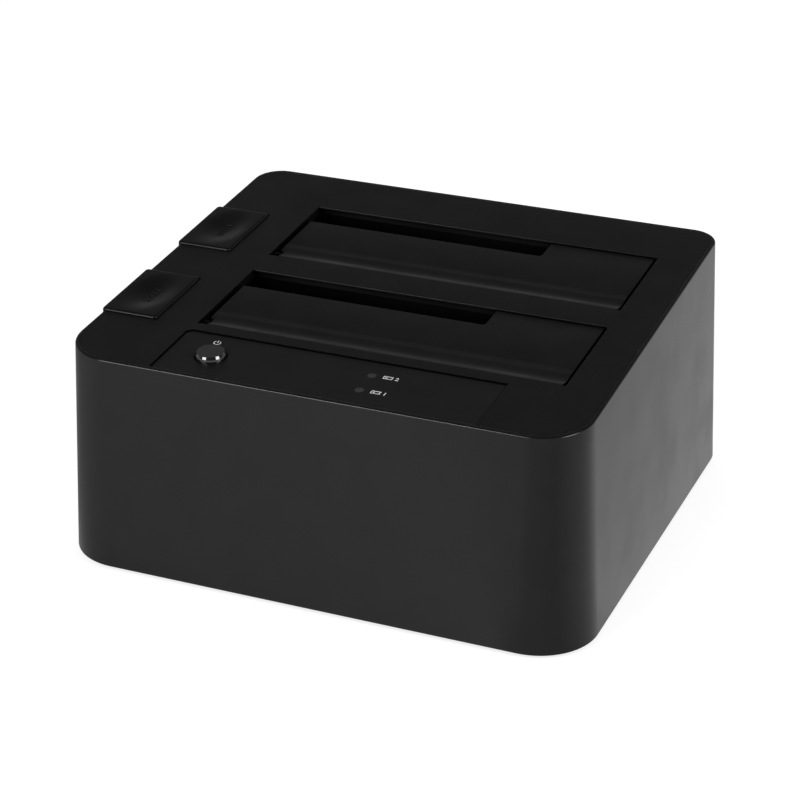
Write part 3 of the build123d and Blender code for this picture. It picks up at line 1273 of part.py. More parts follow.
def main():
    """Make every sub-part."""
    single = (
        outer_case, top_cover, base_tray, control_panel, rubber_feet, base_screws, board_screws,
        well_screws, small_board_screws, main_board, usb_port, usb_tongue, power_jack, jack_pin,
        bridge_chip, inductors, capacitors, crystal, switch_board, power_switch, switch_plunger,
        power_button, light_pipes, status_leds, lead_sockets, board_lead,
    )
    for make in single:
        save(make.__name__, make())
    each_bay = (
        bay_well, bay_flap, flap_pin, flap_spring, eject_button, eject_spring, eject_lever,
        lever_pin, sata_connector, sata_contacts,
    )
    for name, y in BAYS.items():
        for make in each_bay:
            save(f"{make.__name__}_{name}", make(y))


main()
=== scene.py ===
"""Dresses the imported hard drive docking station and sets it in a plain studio.

The dock is a low black case with two upright bays for bare drives. Each bay has a hinged dust flap
and an eject button. Lengths are in metres; sizes that are easier to read in millimetres are
written as a number times MM.
"""

import json
import logging
import math
from dataclasses import dataclass
from enum import Enum
from typing import Any, Iterable, Sequence

import bmesh  # noqa: E402
import bpy  # noqa: E402
from mathutils import Matrix, Vector  # noqa: E402

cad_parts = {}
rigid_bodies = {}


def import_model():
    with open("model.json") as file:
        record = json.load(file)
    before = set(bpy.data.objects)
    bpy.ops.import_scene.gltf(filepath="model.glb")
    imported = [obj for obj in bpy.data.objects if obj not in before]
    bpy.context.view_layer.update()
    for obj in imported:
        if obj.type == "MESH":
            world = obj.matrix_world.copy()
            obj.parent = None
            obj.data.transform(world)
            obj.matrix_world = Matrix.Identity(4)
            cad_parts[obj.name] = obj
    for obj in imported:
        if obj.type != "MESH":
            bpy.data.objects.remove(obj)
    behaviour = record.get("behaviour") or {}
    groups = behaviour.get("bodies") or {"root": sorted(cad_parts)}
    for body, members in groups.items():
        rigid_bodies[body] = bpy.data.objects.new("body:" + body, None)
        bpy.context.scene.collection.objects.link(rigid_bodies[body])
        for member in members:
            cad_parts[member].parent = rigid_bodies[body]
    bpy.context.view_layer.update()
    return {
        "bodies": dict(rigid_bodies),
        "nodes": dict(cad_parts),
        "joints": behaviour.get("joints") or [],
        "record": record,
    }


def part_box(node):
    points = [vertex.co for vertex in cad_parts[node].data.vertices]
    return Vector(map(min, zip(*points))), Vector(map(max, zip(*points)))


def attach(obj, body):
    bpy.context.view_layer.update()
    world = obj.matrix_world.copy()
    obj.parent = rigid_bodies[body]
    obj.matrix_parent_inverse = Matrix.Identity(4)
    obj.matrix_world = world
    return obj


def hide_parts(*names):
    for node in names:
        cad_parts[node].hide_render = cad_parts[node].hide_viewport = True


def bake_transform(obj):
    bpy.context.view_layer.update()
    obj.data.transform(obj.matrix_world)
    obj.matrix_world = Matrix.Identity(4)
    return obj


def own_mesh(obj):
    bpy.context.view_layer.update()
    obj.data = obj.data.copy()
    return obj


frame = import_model()

MM = 0.001
UNIT_SPAN = (0.0, 1.0)
NOISE_SPAN = (0.3, 0.7)  # where most of a noise's values lie
GRAIN_DETAIL = 3.0  # finer layers in the noise of a grain or a streak
WIRE_ROUNDNESS = 3
LOG = logging.getLogger("dock")

Colour = tuple[float, float, float]


class Bay(Enum):
    """The two drive bays, by where they stand."""

    FRONT = "front"
    REAR = "rear"


class Slot(Enum):
    """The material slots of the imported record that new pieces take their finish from."""

    PANEL = "panel"
    FLAP = "flap"
    BUTTON = "button"
    STEEL = "steel"


# Node trees


class NodeSheet:
    """Adds and joins the nodes of one tree."""

    def __init__(self, tree: bpy.types.NodeTree) -> None:
        """Empties the tree.

        Args:
            tree: The shader, world or geometry tree to fill.
        """
        self.tree = tree
        tree.nodes.clear()

    def add(
        self, kind: str, inputs: dict[str | int, Any] | None = None, **settings: Any
    ) -> bpy.types.Node:
        """Adds a node.

        Args:
            kind: The node's type name.
            inputs: Values, or the output sockets to join, by input name or number.
            settings: The node's own properties.

        Returns:
            The new node.
        """
        node = self.tree.nodes.new(kind)
        for name, value in settings.items():
            setattr(node, name, value)
        for key, value in (inputs or {}).items():
            socket = node.inputs[key]
            if isinstance(value, bpy.types.NodeSocket):
                self.tree.links.new(value, socket)
            else:
                socket.default_value = value
        return node

    def math(self, operation: str, first: Any, second: Any = 0.0) -> bpy.types.NodeSocket:
        """Adds a Math node and returns its result."""
        return self.add("ShaderNodeMath", {0: first, 1: second}, operation=operation).outputs[0]

    def noise(self, coords: bpy.types.NodeSocket, grain: float, detail: float = 2.0) -> bpy.types.NodeSocket:
        """Adds a noise whose lumps are about a grain across.

        Args:
            coords: The coordinates that carry the pattern.
            grain: Size of the lumps, in metres.
            detail: How many finer layers it holds.

        Returns:
            The noise, from 0 to 1.
        """
        inputs = {"Vector": coords, "Scale": 1.0 / grain, "Detail": detail}
        return self.add("ShaderNodeTexNoise", inputs).outputs["Fac"]

    def remap(
        self, value: Any, before: Sequence[float], after: Sequence[float] = UNIT_SPAN
    ) -> bpy.types.NodeSocket:
        """Adds a soft, clamped Map Range from one span to another and returns its result."""
        inputs = {0: value, 1: before[0], 2: before[1], 3: after[0], 4: after[1]}
        return self.add("ShaderNodeMapRange", inputs, interpolation_type="SMOOTHSTEP").outputs[0]

    def scale_of(self, value: Any, stops: Sequence[tuple[float, float]]) -> bpy.types.NodeSocket:
        """Adds a grey scale that runs through a list of stops.

        Args:
            value: What is looked up.
            stops: Pairs of a place from 0 to 1 and the grey there.

        Returns:
            The grey at the value.
        """
        node = self.add("ShaderNodeValToRGB", {0: value})
        ramp = node.color_ramp
        while len(ramp.elements) < len(stops):
            ramp.elements.new(0.5)
        for element, (place, grey) in zip(ramp.elements, stops):
            element.position = place
            element.color = (grey, grey, grey, 1.0)
        return node.outputs[0]

    def blend(self, share: Any, first: Any, second: Any) -> bpy.types.NodeSocket:
        """Adds a mix of two colours.

        Args:
            share: How much of the second colour shows, from 0 to 1.
            first: A colour or the socket of one.
            second: Likewise.

        Returns:
            The mixed colour.
        """
        node = self.add("ShaderNodeMix", {0: share}, data_type="RGBA")
        for index, value in ((6, first), (7, second)):
            if isinstance(value, bpy.types.NodeSocket):
                self.tree.links.new(value, node.inputs[index])
            else:
                node.inputs[index].default_value = (*value, 1.0)
        return node.outputs[2]


# Finishes


@dataclass(frozen=True)
class Finish:
    """A surface finish: its colour, its gloss and what breaks them up.

    Subclasses say how the surface is textured.
    """

    name: str
    colour: Colour
    roughness: float = 0.5
    mottle: float = 0.10
    mottle_size: float = 9.0 * MM
    mottle_detail: float = 4.0
    edge_radius: float = 0.12 * MM
    edge_samples: int = 4

    def material(self) -> bpy.types.Material:
        """Makes the material.

        Returns:
            A new material with a Principled shader in it.
        """
        made = bpy.data.materials.new(self.name)
        made.use_nodes = True
        sheet = NodeSheet(made.node_tree)
        coords = sheet.add("ShaderNodeTexCoord").outputs["Object"]
        shader = sheet.add("ShaderNodeBsdfPrincipled", {"Roughness": self.roughness})
        self.dress(sheet, shader, coords)
        output = sheet.add("ShaderNodeOutputMaterial")
        sheet.tree.links.new(shader.outputs[0], output.inputs["Surface"])
        return made

    def shade(self, factor: float) -> Colour:
        """The finish's colour made lighter or darker by a factor."""
        return tuple(min(channel * factor, 1.0) for channel in self.colour)

    def mottled(self, sheet: NodeSheet, coords: bpy.types.NodeSocket) -> bpy.types.NodeSocket:
        """Breaks the colour into soft clouds.

        Args:
            sheet: The tree to write in.
            coords: Object coordinates.

        Returns:
            The colour socket.
        """
        cloud = sheet.remap(sheet.noise(coords, self.mottle_size, self.mottle_detail), NOISE_SPAN)
        return sheet.blend(cloud, self.shade(1.0 - self.mottle), self.shade(1.0 + self.mottle))

    def soft_edges(self, sheet: NodeSheet) -> bpy.types.NodeSocket:
        """Rounds the look of sharp edges and returns the normal."""
        inputs = {"Radius": self.edge_radius}
        return sheet.add("ShaderNodeBevel", inputs, samples=self.edge_samples).outputs[0]

    def dress(self, sheet: NodeSheet, shader: bpy.types.Node, coords: bpy.types.NodeSocket) -> None:
        """Joins the colour, gloss and relief to the shader.

        Args:
            sheet: The tree to write in.
            shader: The Principled shader.
            coords: Object coordinates.
        """
        sheet.tree.links.new(self.mottled(sheet, coords), shader.inputs["Base Color"])
        sheet.tree.links.new(self.soft_edges(sheet), shader.inputs["Normal"])


@dataclass(frozen=True)
class MouldedPlastic(Finish):
    """Injection-moulded plastic with the fine grain of a spark-eroded mould."""

    grain: float = 0.32 * MM
    grain_depth: float = 0.006 * MM
    gloss_spread: float = 0.05
    specular: float = 0.5
    crevice_shade: float = 0.0  # how near another surface must be to paint shade on this one
    crevice_shade_samples: int = 8
    crevice_shade_span: tuple[float, float] = (0.48, 0.92)  # open sky, from fully dimmed to full light
    crevice_shade_colour: float = 0.25  # share of the colour that the painted shade keeps
    crevice_shade_gloss: float = 0.1  # share of the specular level that the painted shade keeps
    worn_span: tuple[float, float] = (0.995, 0.90)  # a rounded edge's turn, from plain to polished
    worn_lift: float = 2.2  # how many times lighter the wear is
    worn_share: float = 0.35
    worn_gloss: float = 0.08  # what wear takes off the roughness
    cloud_stretch: float = 1.7  # the clouds of gloss against those of colour
    cloud_span: tuple[float, float] = (0.25, 0.75)

    def unshaded_share(self, sheet: NodeSheet) -> bpy.types.NodeSocket:
        """Measures how open a point lies, for the shade painted into crevices.

        Args:
            sheet: The tree to write in.

        Returns:
            A value from 0 in a crevice to 1 under open sky.
        """
        inputs = {"Distance": self.crevice_shade}
        node = sheet.add("ShaderNodeAmbientOcclusion", inputs, samples=self.crevice_shade_samples)
        return sheet.remap(node.outputs["AO"], self.crevice_shade_span)

    def dress(self, sheet: NodeSheet, shader: bpy.types.Node, coords: bpy.types.NodeSocket) -> None:
        """Adds the mould grain, slow changes of gloss, polished edges and shade painted near other surfaces.

        Args:
            sheet: The tree to write in.
            shader: The Principled shader.
            coords: Object coordinates.
        """
        links = sheet.tree.links
        rounded = self.soft_edges(sheet)
        flat = sheet.add("ShaderNodeNewGeometry").outputs["Normal"]
        alike = sheet.add("ShaderNodeVectorMath", {0: rounded, 1: flat}, operation="DOT_PRODUCT")
        worn = sheet.remap(alike.outputs["Value"], self.worn_span)
        grain = sheet.noise(coords, self.grain, GRAIN_DETAIL)
        cloud = sheet.noise(coords, self.mottle_size * self.cloud_stretch, GRAIN_DETAIL)
        wear = sheet.math("MULTIPLY", worn, self.worn_share)
        colour = sheet.blend(wear, self.mottled(sheet, coords), self.shade(self.worn_lift))
        level = shader.inputs["Specular IOR Level"]
        level.default_value = self.specular
        # painted shade: near other surfaces the colour is darkened and the specular level lowered
        if self.crevice_shade:
            lit = self.unshaded_share(sheet)
            colour = sheet.blend(lit, self.shade(self.crevice_shade_colour), colour)
            dimmed = self.specular * self.crevice_shade_gloss
            links.new(sheet.remap(lit, UNIT_SPAN, (dimmed, self.specular)), level)
        links.new(colour, shader.inputs["Base Color"])
        low, high = self.roughness - self.gloss_spread, self.roughness + self.gloss_spread
        gloss = sheet.remap(cloud, self.cloud_span, (low, high))
        polish = sheet.math("MULTIPLY", worn, self.worn_gloss)
        links.new(sheet.math("SUBTRACT", gloss, polish), shader.inputs["Roughness"])
        inputs = {"Strength": 1.0, "Distance": self.grain_depth, "Height": grain, "Normal": rounded}
        links.new(sheet.add("ShaderNodeBump", inputs).outputs[0], shader.inputs["Normal"])


@dataclass(frozen=True)
class DrawnMetal(Finish):
    """Metal with fine lines along one axis from drawing or turning."""

    streak: float = 0.08 * MM
    streak_depth: float = 0.002 * MM
    streak_strength: float = 0.5
    stretch: float = 30.0
    gloss_span: tuple[float, float] = (0.75, 1.3)  # the streaks' roughness against the finish's own

    def dress(self, sheet: NodeSheet, shader: bpy.types.Node, coords: bpy.types.NodeSocket) -> None:
        """Adds the streaks, which vary both gloss and height.

        Args:
            sheet: The tree to write in.
            shader: The Principled shader.
            coords: Object coordinates.
        """
        links = sheet.tree.links
        inputs = {"Vector": coords, "Scale": (1.0 / self.stretch, 1.0, 1.0)}
        lengthwise = sheet.add("ShaderNodeMapping", inputs).outputs[0]
        streaks = sheet.noise(lengthwise, self.streak, GRAIN_DETAIL)
        links.new(self.mottled(sheet, coords), shader.inputs["Base Color"])
        low, high = (self.roughness * share for share in self.gloss_span)
        links.new(sheet.remap(streaks, NOISE_SPAN, (low, high)), shader.inputs["Roughness"])
        rounded = self.soft_edges(sheet)
        inputs = {"Strength": self.streak_strength, "Distance": self.streak_depth}
        inputs |= {"Height": streaks, "Normal": rounded}
        links.new(sheet.add("ShaderNodeBump", inputs).outputs[0], shader.inputs["Normal"])
        shader.inputs["Metallic"].default_value = 1.0


@dataclass(frozen=True)
class CappedGloss(Finish):
    """Bright black plating with a satin disc wherever the surface faces up."""

    cap_colour: Colour = (0.03, 0.03, 0.032)
    cap_roughness: float = 0.38
    cap_slope: float = 0.97  # how far up the plating begins to turn into the disc
    cap_blend: float = 0.015
    brush_grain: float = 0.25 * MM
    brush_spread: float = 0.04

    def dress(self, sheet: NodeSheet, shader: bpy.types.Node, coords: bpy.types.NodeSocket) -> None:
        """Splits the plating from the satin disc by the way the surface faces.

        Args:
            sheet: The tree to write in.
            shader: The Principled shader.
            coords: Object coordinates.
        """
        links = sheet.tree.links
        facing = sheet.add("ShaderNodeNewGeometry").outputs["Normal"]
        up = sheet.add("ShaderNodeSeparateXYZ", {0: facing}).outputs["Z"]
        cap = sheet.remap(up, (self.cap_slope, self.cap_slope + self.cap_blend))
        colour = sheet.blend(cap, self.mottled(sheet, coords), self.cap_colour)
        links.new(colour, shader.inputs["Base Color"])
        plated = sheet.math("SUBTRACT", 1.0, cap)
        links.new(plated, shader.inputs["Metallic"])
        spread = (-self.brush_spread, self.brush_spread)
        brush = sheet.remap(sheet.noise(coords, self.brush_grain), NOISE_SPAN, spread)
        gloss = sheet.remap(cap, UNIT_SPAN, (self.roughness, self.cap_roughness))
        links.new(sheet.math("ADD", gloss, brush), shader.inputs["Roughness"])
        links.new(self.soft_edges(sheet), shader.inputs["Normal"])


@dataclass(frozen=True)
class SolderMask(Finish):
    """Circuit board lacquer with the copper tracks showing through as lighter lines."""

    track_colour: Colour = (0.02, 0.15, 0.06)
    track_pitch: float = 1.3 * MM
    track_turn: float = math.radians(45.0)
    track_bend: float = 3.0
    track_edge: tuple[float, float] = (0.55, 0.62)
    track_height: float = 0.02 * MM
    track_strength: float = 0.6
    lacquer: float = 0.3

    def dress(self, sheet: NodeSheet, shader: bpy.types.Node, coords: bpy.types.NodeSocket) -> None:
        """Adds the tracks as colour and relief.

        Args:
            sheet: The tree to write in.
            shader: The Principled shader.
            coords: Object coordinates.
        """
        links = sheet.tree.links
        inputs = {"Vector": coords, "Rotation": (0.0, 0.0, self.track_turn)}
        turned = sheet.add("ShaderNodeMapping", inputs).outputs[0]
        scale = 0.5 / self.track_pitch
        inputs = {"Vector": turned, "Scale": scale, "Distortion": self.track_bend, "Detail": 0.0}
        wave = sheet.add("ShaderNodeTexWave", inputs, wave_type="BANDS", bands_direction="X")
        track = sheet.remap(wave.outputs["Fac"], self.track_edge)
        colour = sheet.blend(track, self.mottled(sheet, coords), self.track_colour)
        links.new(colour, shader.inputs["Base Color"])
        rounded = self.soft_edges(sheet)
        inputs = {"Strength": self.track_strength, "Distance": self.track_height}
        inputs |= {"Height": track, "Normal": rounded}
        links.new(sheet.add("ShaderNodeBump", inputs).outputs[0], shader.inputs["Normal"])
        shader.inputs["Coat Weight"].default_value = self.lacquer


CASE = MouldedPlastic(
    "case_semi_gloss",
    (0.0082, 0.0082, 0.0085),
    roughness=0.22,
    grain=0.9 * MM,
    grain_depth=0.0012 * MM,
)
COVER = MouldedPlastic(
    "cover_fine_matte",
    (0.0068, 0.0068, 0.0070),
    roughness=0.42,
    grain_depth=0.006 * MM,
    specular=0.30,
    crevice_shade=14.0 * MM,
)
FLAP = MouldedPlastic(
    "flap_fine_matte",
    (0.0090, 0.0090, 0.0092),
    roughness=0.40,
    grain_depth=0.005 * MM,
    specular=0.36,
    crevice_shade=4.0 * MM,
)
PANEL = MouldedPlastic(
    "panel_satin",
    (0.0086, 0.0086, 0.0089),
    roughness=0.34,
    grain_depth=0.003 * MM,
    specular=0.36,
    crevice_shade=2.0 * MM,
)
BUTTON = MouldedPlastic(
    "button_satin",
    (0.0066, 0.0066, 0.0068),
    roughness=0.34,
    grain_depth=0.003 * MM,
    specular=0.3,
    crevice_shade=2.0 * MM,
)
# Painted shade: the wells and levers get a colour darker than the other mouldings, and a long crevice reach,
# so the bays look deep in shade.
SHADED_WELL = MouldedPlastic(
    "well_moulding",
    (0.0035, 0.0035, 0.0037),
    roughness=0.50,
    grain_depth=0.005 * MM,
    specular=0.12,
    crevice_shade=45.0 * MM,
)
TRAY = MouldedPlastic("tray_moulding", (0.012, 0.012, 0.0125), roughness=0.45, grain_depth=0.010 * MM)
RUBBER = MouldedPlastic("foot_rubber", (0.018, 0.018, 0.018), roughness=0.75, grain=0.5 * MM, specular=0.25)
PLATED = CappedGloss("power_button_plated", (0.14, 0.14, 0.145), roughness=0.05)
LENS = MouldedPlastic("lamp_window", (0.035, 0.035, 0.037), roughness=0.30, grain_depth=0.001 * MM)
LED = MouldedPlastic("led_lens", (0.55, 0.60, 0.66), roughness=0.25, grain_depth=0.001 * MM)
STEEL = DrawnMetal("bright_steel", (0.55, 0.55, 0.56), roughness=0.28)
BLACK_STEEL = DrawnMetal("black_oxide_steel", (0.012, 0.012, 0.013), roughness=0.42)
SCREW_STEEL = DrawnMetal("black_zinc_steel", (0.09, 0.09, 0.095), roughness=0.34, stretch=1.0)
PORT_STEEL = DrawnMetal("port_shell_steel", (0.62, 0.61, 0.60), roughness=0.24)
GOLD = DrawnMetal("contact_gold", (0.80, 0.58, 0.24), roughness=0.22)
BOARD = SolderMask("solder_mask", (0.010, 0.090, 0.040), roughness=0.35)
SOCKET = MouldedPlastic("socket_housing", (0.012, 0.012, 0.013), roughness=0.40)
INSERT = MouldedPlastic("port_insert_blue", (0.015, 0.07, 0.28), roughness=0.40)
CHIP = MouldedPlastic("chip_epoxy", (0.014, 0.014, 0.015), roughness=0.55)
COIL = MouldedPlastic("coil_ferrite", (0.035, 0.034, 0.033), roughness=0.60)
CAN = DrawnMetal("capacitor_can", (0.60, 0.61, 0.62), roughness=0.30)
LEAD = MouldedPlastic("ribbon_lead", (0.38, 0.38, 0.39), roughness=0.50)
HEADER = MouldedPlastic("lead_socket_nylon", (0.62, 0.60, 0.54), roughness=0.45)
INK = MouldedPlastic("printed_ink", (0.80, 0.80, 0.80), roughness=0.55, grain_depth=0.001 * MM)


# Objects and geometry trees


def new_object(name: str, data: bpy.types.ID) -> bpy.types.Object:
    """Puts something new in the scene.

    Args:
        name: The object's name.
        data: A mesh, curve, lamp or camera.

    Returns:
        The object, in the scene.
    """
    made = bpy.data.objects.new(name, data)
    bpy.context.scene.collection.objects.link(made)
    return made


def worked_out(holder: bpy.types.Object) -> bpy.types.Mesh:
    """A plain mesh of what an object shows once its modifiers have run."""
    graph = bpy.context.evaluated_depsgraph_get()
    return bpy.data.meshes.new_from_object(holder.evaluated_get(graph), depsgraph=graph)


def curve_mesh(curve: bpy.types.Curve) -> bpy.types.Mesh:
    """Turns a curve or a text into a plain mesh.

    Args:
        curve: The curve or the text.

    Returns:
        Its mesh.
    """
    holder = new_object(curve.name, curve)
    mesh = worked_out(holder)
    bpy.data.objects.remove(holder)
    return mesh


def geometry_tree(name: str, inputs: dict[str, str]) -> bpy.types.NodeTree:
    """Starts a geometry tree.

    Args:
        name: The tree's name.
        inputs: The kind of each input, by its name.

    Returns:
        The tree, with its inputs and an output for the geometry.
    """
    tree = bpy.data.node_groups.new(name, "GeometryNodeTree")
    for label, kind in inputs.items():
        tree.interface.new_socket(label, in_out="INPUT", socket_type=f"NodeSocket{kind}")
    tree.interface.new_socket("Geometry", in_out="OUTPUT", socket_type="NodeSocketGeometry")
    return tree


def lay_on(holder: bpy.types.Object, tree: bpy.types.NodeTree, given: dict[str, Any]) -> None:
    """Puts a geometry tree on an object.

    Args:
        holder: The object.
        tree: The tree.
        given: A value for each input, by its name.
    """
    modifier = holder.modifiers.new(tree.name, "NODES")
    modifier.node_group = tree
    for item in tree.interface.items_tree:
        if item.in_out == "INPUT" and item.name in given:
            modifier[item.identifier] = given[item.name]


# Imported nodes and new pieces


@dataclass(frozen=True)
class SmoothForm:
    """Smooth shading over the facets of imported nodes, with their true edges kept sharp."""

    weld: float = 0.001 * MM
    sharp_angle: float = math.radians(32.0)

    def tree(self) -> bpy.types.NodeTree:
        """Builds the node group, which welds the facets and marks the edges that stay sharp.

        Returns:
            A geometry tree with inputs for the weld and the sharp angle.
        """
        inputs = {"Geometry": "Geometry", "Weld": "Float", "Angle": "Float"}
        tree = geometry_tree("smooth_form", inputs)
        sheet = NodeSheet(tree)
        given = sheet.add("NodeGroupInput").outputs
        inputs = {"Geometry": given["Geometry"], "Name": "custom_normal"}
        plain = sheet.add("GeometryNodeRemoveAttribute", inputs).outputs["Geometry"]
        inputs = {"Geometry": plain, "Distance": given["Weld"]}
        form = sheet.add("GeometryNodeMergeByDistance", inputs).outputs[0]
        bend = sheet.add("GeometryNodeInputMeshEdgeAngle").outputs["Unsigned Angle"]
        inputs = {0: bend, 1: given["Angle"]}
        soft = sheet.add("FunctionNodeCompare", inputs, operation="LESS_EQUAL").outputs[0]
        for domain, smooth in (("FACE", True), ("EDGE", soft)):
            inputs = {0: form, "Shade Smooth": smooth}
            form = sheet.add("GeometryNodeSetShadeSmooth", inputs, domain=domain).outputs[0]
        sheet.add("NodeGroupOutput", {"Geometry": form})
        return tree

    def smooth(self, nodes: Iterable[bpy.types.Object]) -> None:
        """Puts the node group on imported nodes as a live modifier.

        Args:
            nodes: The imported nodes.
        """
        tree = self.tree()
        for node in nodes:
            lay_on(node, tree, {"Weld": self.weld, "Angle": self.sharp_angle})


class Workshop:
    """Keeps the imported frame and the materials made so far, and takes in new pieces."""

    def __init__(self, packed: dict[str, Any]) -> None:
        """Starts with no material made.
        """
        self.nodes: dict[str, bpy.types.Object] = packed["nodes"]
        self.made: dict[str, bpy.types.Material] = {}
        SmoothForm().smooth(self.nodes.values())

    def material(self, finish: Finish) -> bpy.types.Material:
        """Looks up the material of a finish.

        Args:
            finish: The finish.

        Returns:
            Its material, made on first use.
        """
        if finish.name not in self.made:
            self.made[finish.name] = finish.material()
        return self.made[finish.name]

    def dress(self, finish: Finish, *names: str) -> None:
        """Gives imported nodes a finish.

        Args:
            finish: The finish.
            names: The nodes' names.
        """
        for name in names:
            for slot in self.nodes[name].material_slots:
                slot.material = self.material(finish)
        LOG.info("dressed %s as %s", ", ".join(names), finish.name)

    def take_in(
        self, name: str, mesh: bpy.types.Mesh, body: str | None, finish: Finish
    ) -> bpy.types.Object:
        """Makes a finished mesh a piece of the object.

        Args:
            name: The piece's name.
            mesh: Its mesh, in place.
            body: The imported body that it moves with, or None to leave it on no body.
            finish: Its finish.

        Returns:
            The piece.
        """
        piece = new_object(name, mesh)
        mesh.materials.clear()
        mesh.materials.append(self.material(finish))
        if body is not None:
            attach(piece, body)
        LOG.info("made %s: %d faces, on %s", name, len(mesh.polygons), body or "two bodies")
        return piece


# Rows of like marks


@dataclass(frozen=True)
class BarRow:
    """A row of small rounded bars, laid on a surface that lies below it.

    The row is made by Geometry Nodes: points on a line, dropped on to the surface, with a bar on each.
    """

    count: int
    pitch: float
    size: Vector
    middle: Vector
    along: Vector
    ground: bpy.types.Object
    reach: float = 20.0 * MM  # how far down the ground may lie
    levels: int = 2

    def tree(self) -> bpy.types.NodeTree:
        """Builds the node group.

        Returns:
            A geometry tree with a named input for each size.
        """
        inputs = {"Count": "Int", "Offset": "Vector", "Start": "Vector", "Bar Size": "Vector"}
        tree = geometry_tree("bar_row", inputs | {"Ground": "Object", "Material": "Material"})
        sheet = NodeSheet(tree)
        given = sheet.add("NodeGroupInput").outputs
        inputs = {"Count": given["Count"], "Start Location": given["Start"], "Offset": given["Offset"]}
        points = sheet.add("GeometryNodeMeshLine", inputs, mode="OFFSET").outputs[0]
        points, turn = self.drop(sheet, points, given["Ground"])
        bar = sheet.add("GeometryNodeMeshCube", {"Size": given["Bar Size"], "Vertices X": 4}).outputs[0]
        inputs = {"Mesh": bar, "Level": self.levels}
        rounded = sheet.add("GeometryNodeSubdivisionSurface", inputs).outputs[0]
        inputs = {"Points": points, "Instance": rounded, "Rotation": turn}
        placed = sheet.add("GeometryNodeInstanceOnPoints", inputs).outputs[0]
        solid = sheet.add("GeometryNodeRealizeInstances", {"Geometry": placed}).outputs[0]
        smooth = sheet.add("GeometryNodeSetShadeSmooth", {0: solid}).outputs[0]
        inputs = {"Geometry": smooth, "Material": given["Material"]}
        coloured = sheet.add("GeometryNodeSetMaterial", inputs).outputs[0]
        sheet.add("NodeGroupOutput", {"Geometry": coloured})
        return tree

    def drop(
        self, sheet: NodeSheet, points: bpy.types.NodeSocket, ground: bpy.types.NodeSocket
    ) -> tuple[bpy.types.NodeSocket, bpy.types.NodeSocket]:
        """Drops the points on to the ground and turns the bars to lie on it.

        Args:
            sheet: The tree to write in.
            points: The line of points.
            ground: The object to land on.

        Returns:
            The dropped points and the rotation for what stands on them.
        """
        target = sheet.add("GeometryNodeObjectInfo", {"Object": ground}).outputs["Geometry"]
        down = (0.0, 0.0, -1.0)
        inputs = {"Target Geometry": target, "Ray Direction": down, "Ray Length": self.reach}
        ray = sheet.add("GeometryNodeRaycast", inputs)
        inputs = {"Geometry": points, "Position": ray.outputs["Hit Position"]}
        dropped = sheet.add("GeometryNodeSetPosition", inputs).outputs[0]
        inputs = {"Vector": ray.outputs["Hit Normal"]}
        turn = sheet.add("FunctionNodeAlignRotationToVector", inputs, axis="Z").outputs[0]
        return dropped, turn

    def mesh(self, material: bpy.types.Material) -> bpy.types.Mesh:
        """Runs the tree once and keeps its result.

        Args:
            material: The bars' material.

        Returns:
            A plain mesh.
        """
        tree = self.tree()
        carrier = new_object("row_carrier", bpy.data.meshes.new("row_carrier"))
        step = self.along.normalized() * self.pitch
        given = {
            "Count": self.count,
            "Offset": step,
            "Start": self.middle - step * (self.count - 1) / 2,
            "Bar Size": self.size,
            "Ground": self.ground,
            "Material": material,
        }
        lay_on(carrier, tree, given)
        made = worked_out(carrier)
        bpy.data.objects.remove(carrier)
        bpy.data.node_groups.remove(tree)
        return made


# Flat printed shapes


def arc_points(radius: float, start: float, end: float, steps: int) -> list[Vector]:
    """Points on an arc about the origin.

    Args:
        radius: The arc's radius.
        start: First angle, in degrees from +X.
        end: Last angle.
        steps: How many straight steps it takes.

    Returns:
        The points, in order.
    """
    angles = [math.radians(start + (end - start) * index / steps) for index in range(steps + 1)]
    return [Vector((math.cos(angle), math.sin(angle), 0.0)) * radius for angle in angles]


def add_plate(form: bmesh.types.BMesh, outline: Iterable[Vector], depth: float) -> None:
    """Adds a flat plate to a mesh in the making.

    Args:
        form: The mesh in the making.
        outline: The plate's corners, anticlockwise.
        depth: Its thickness.
    """
    vertices = [form.verts.new(point) for point in outline]
    face = form.faces.new(vertices)
    grown = bmesh.ops.extrude_face_region(form, geom=[face])["geom"]
    top = [part for part in grown if isinstance(part, bmesh.types.BMVert)]
    bmesh.ops.translate(form, verts=top, vec=Vector((0.0, 0.0, depth)))


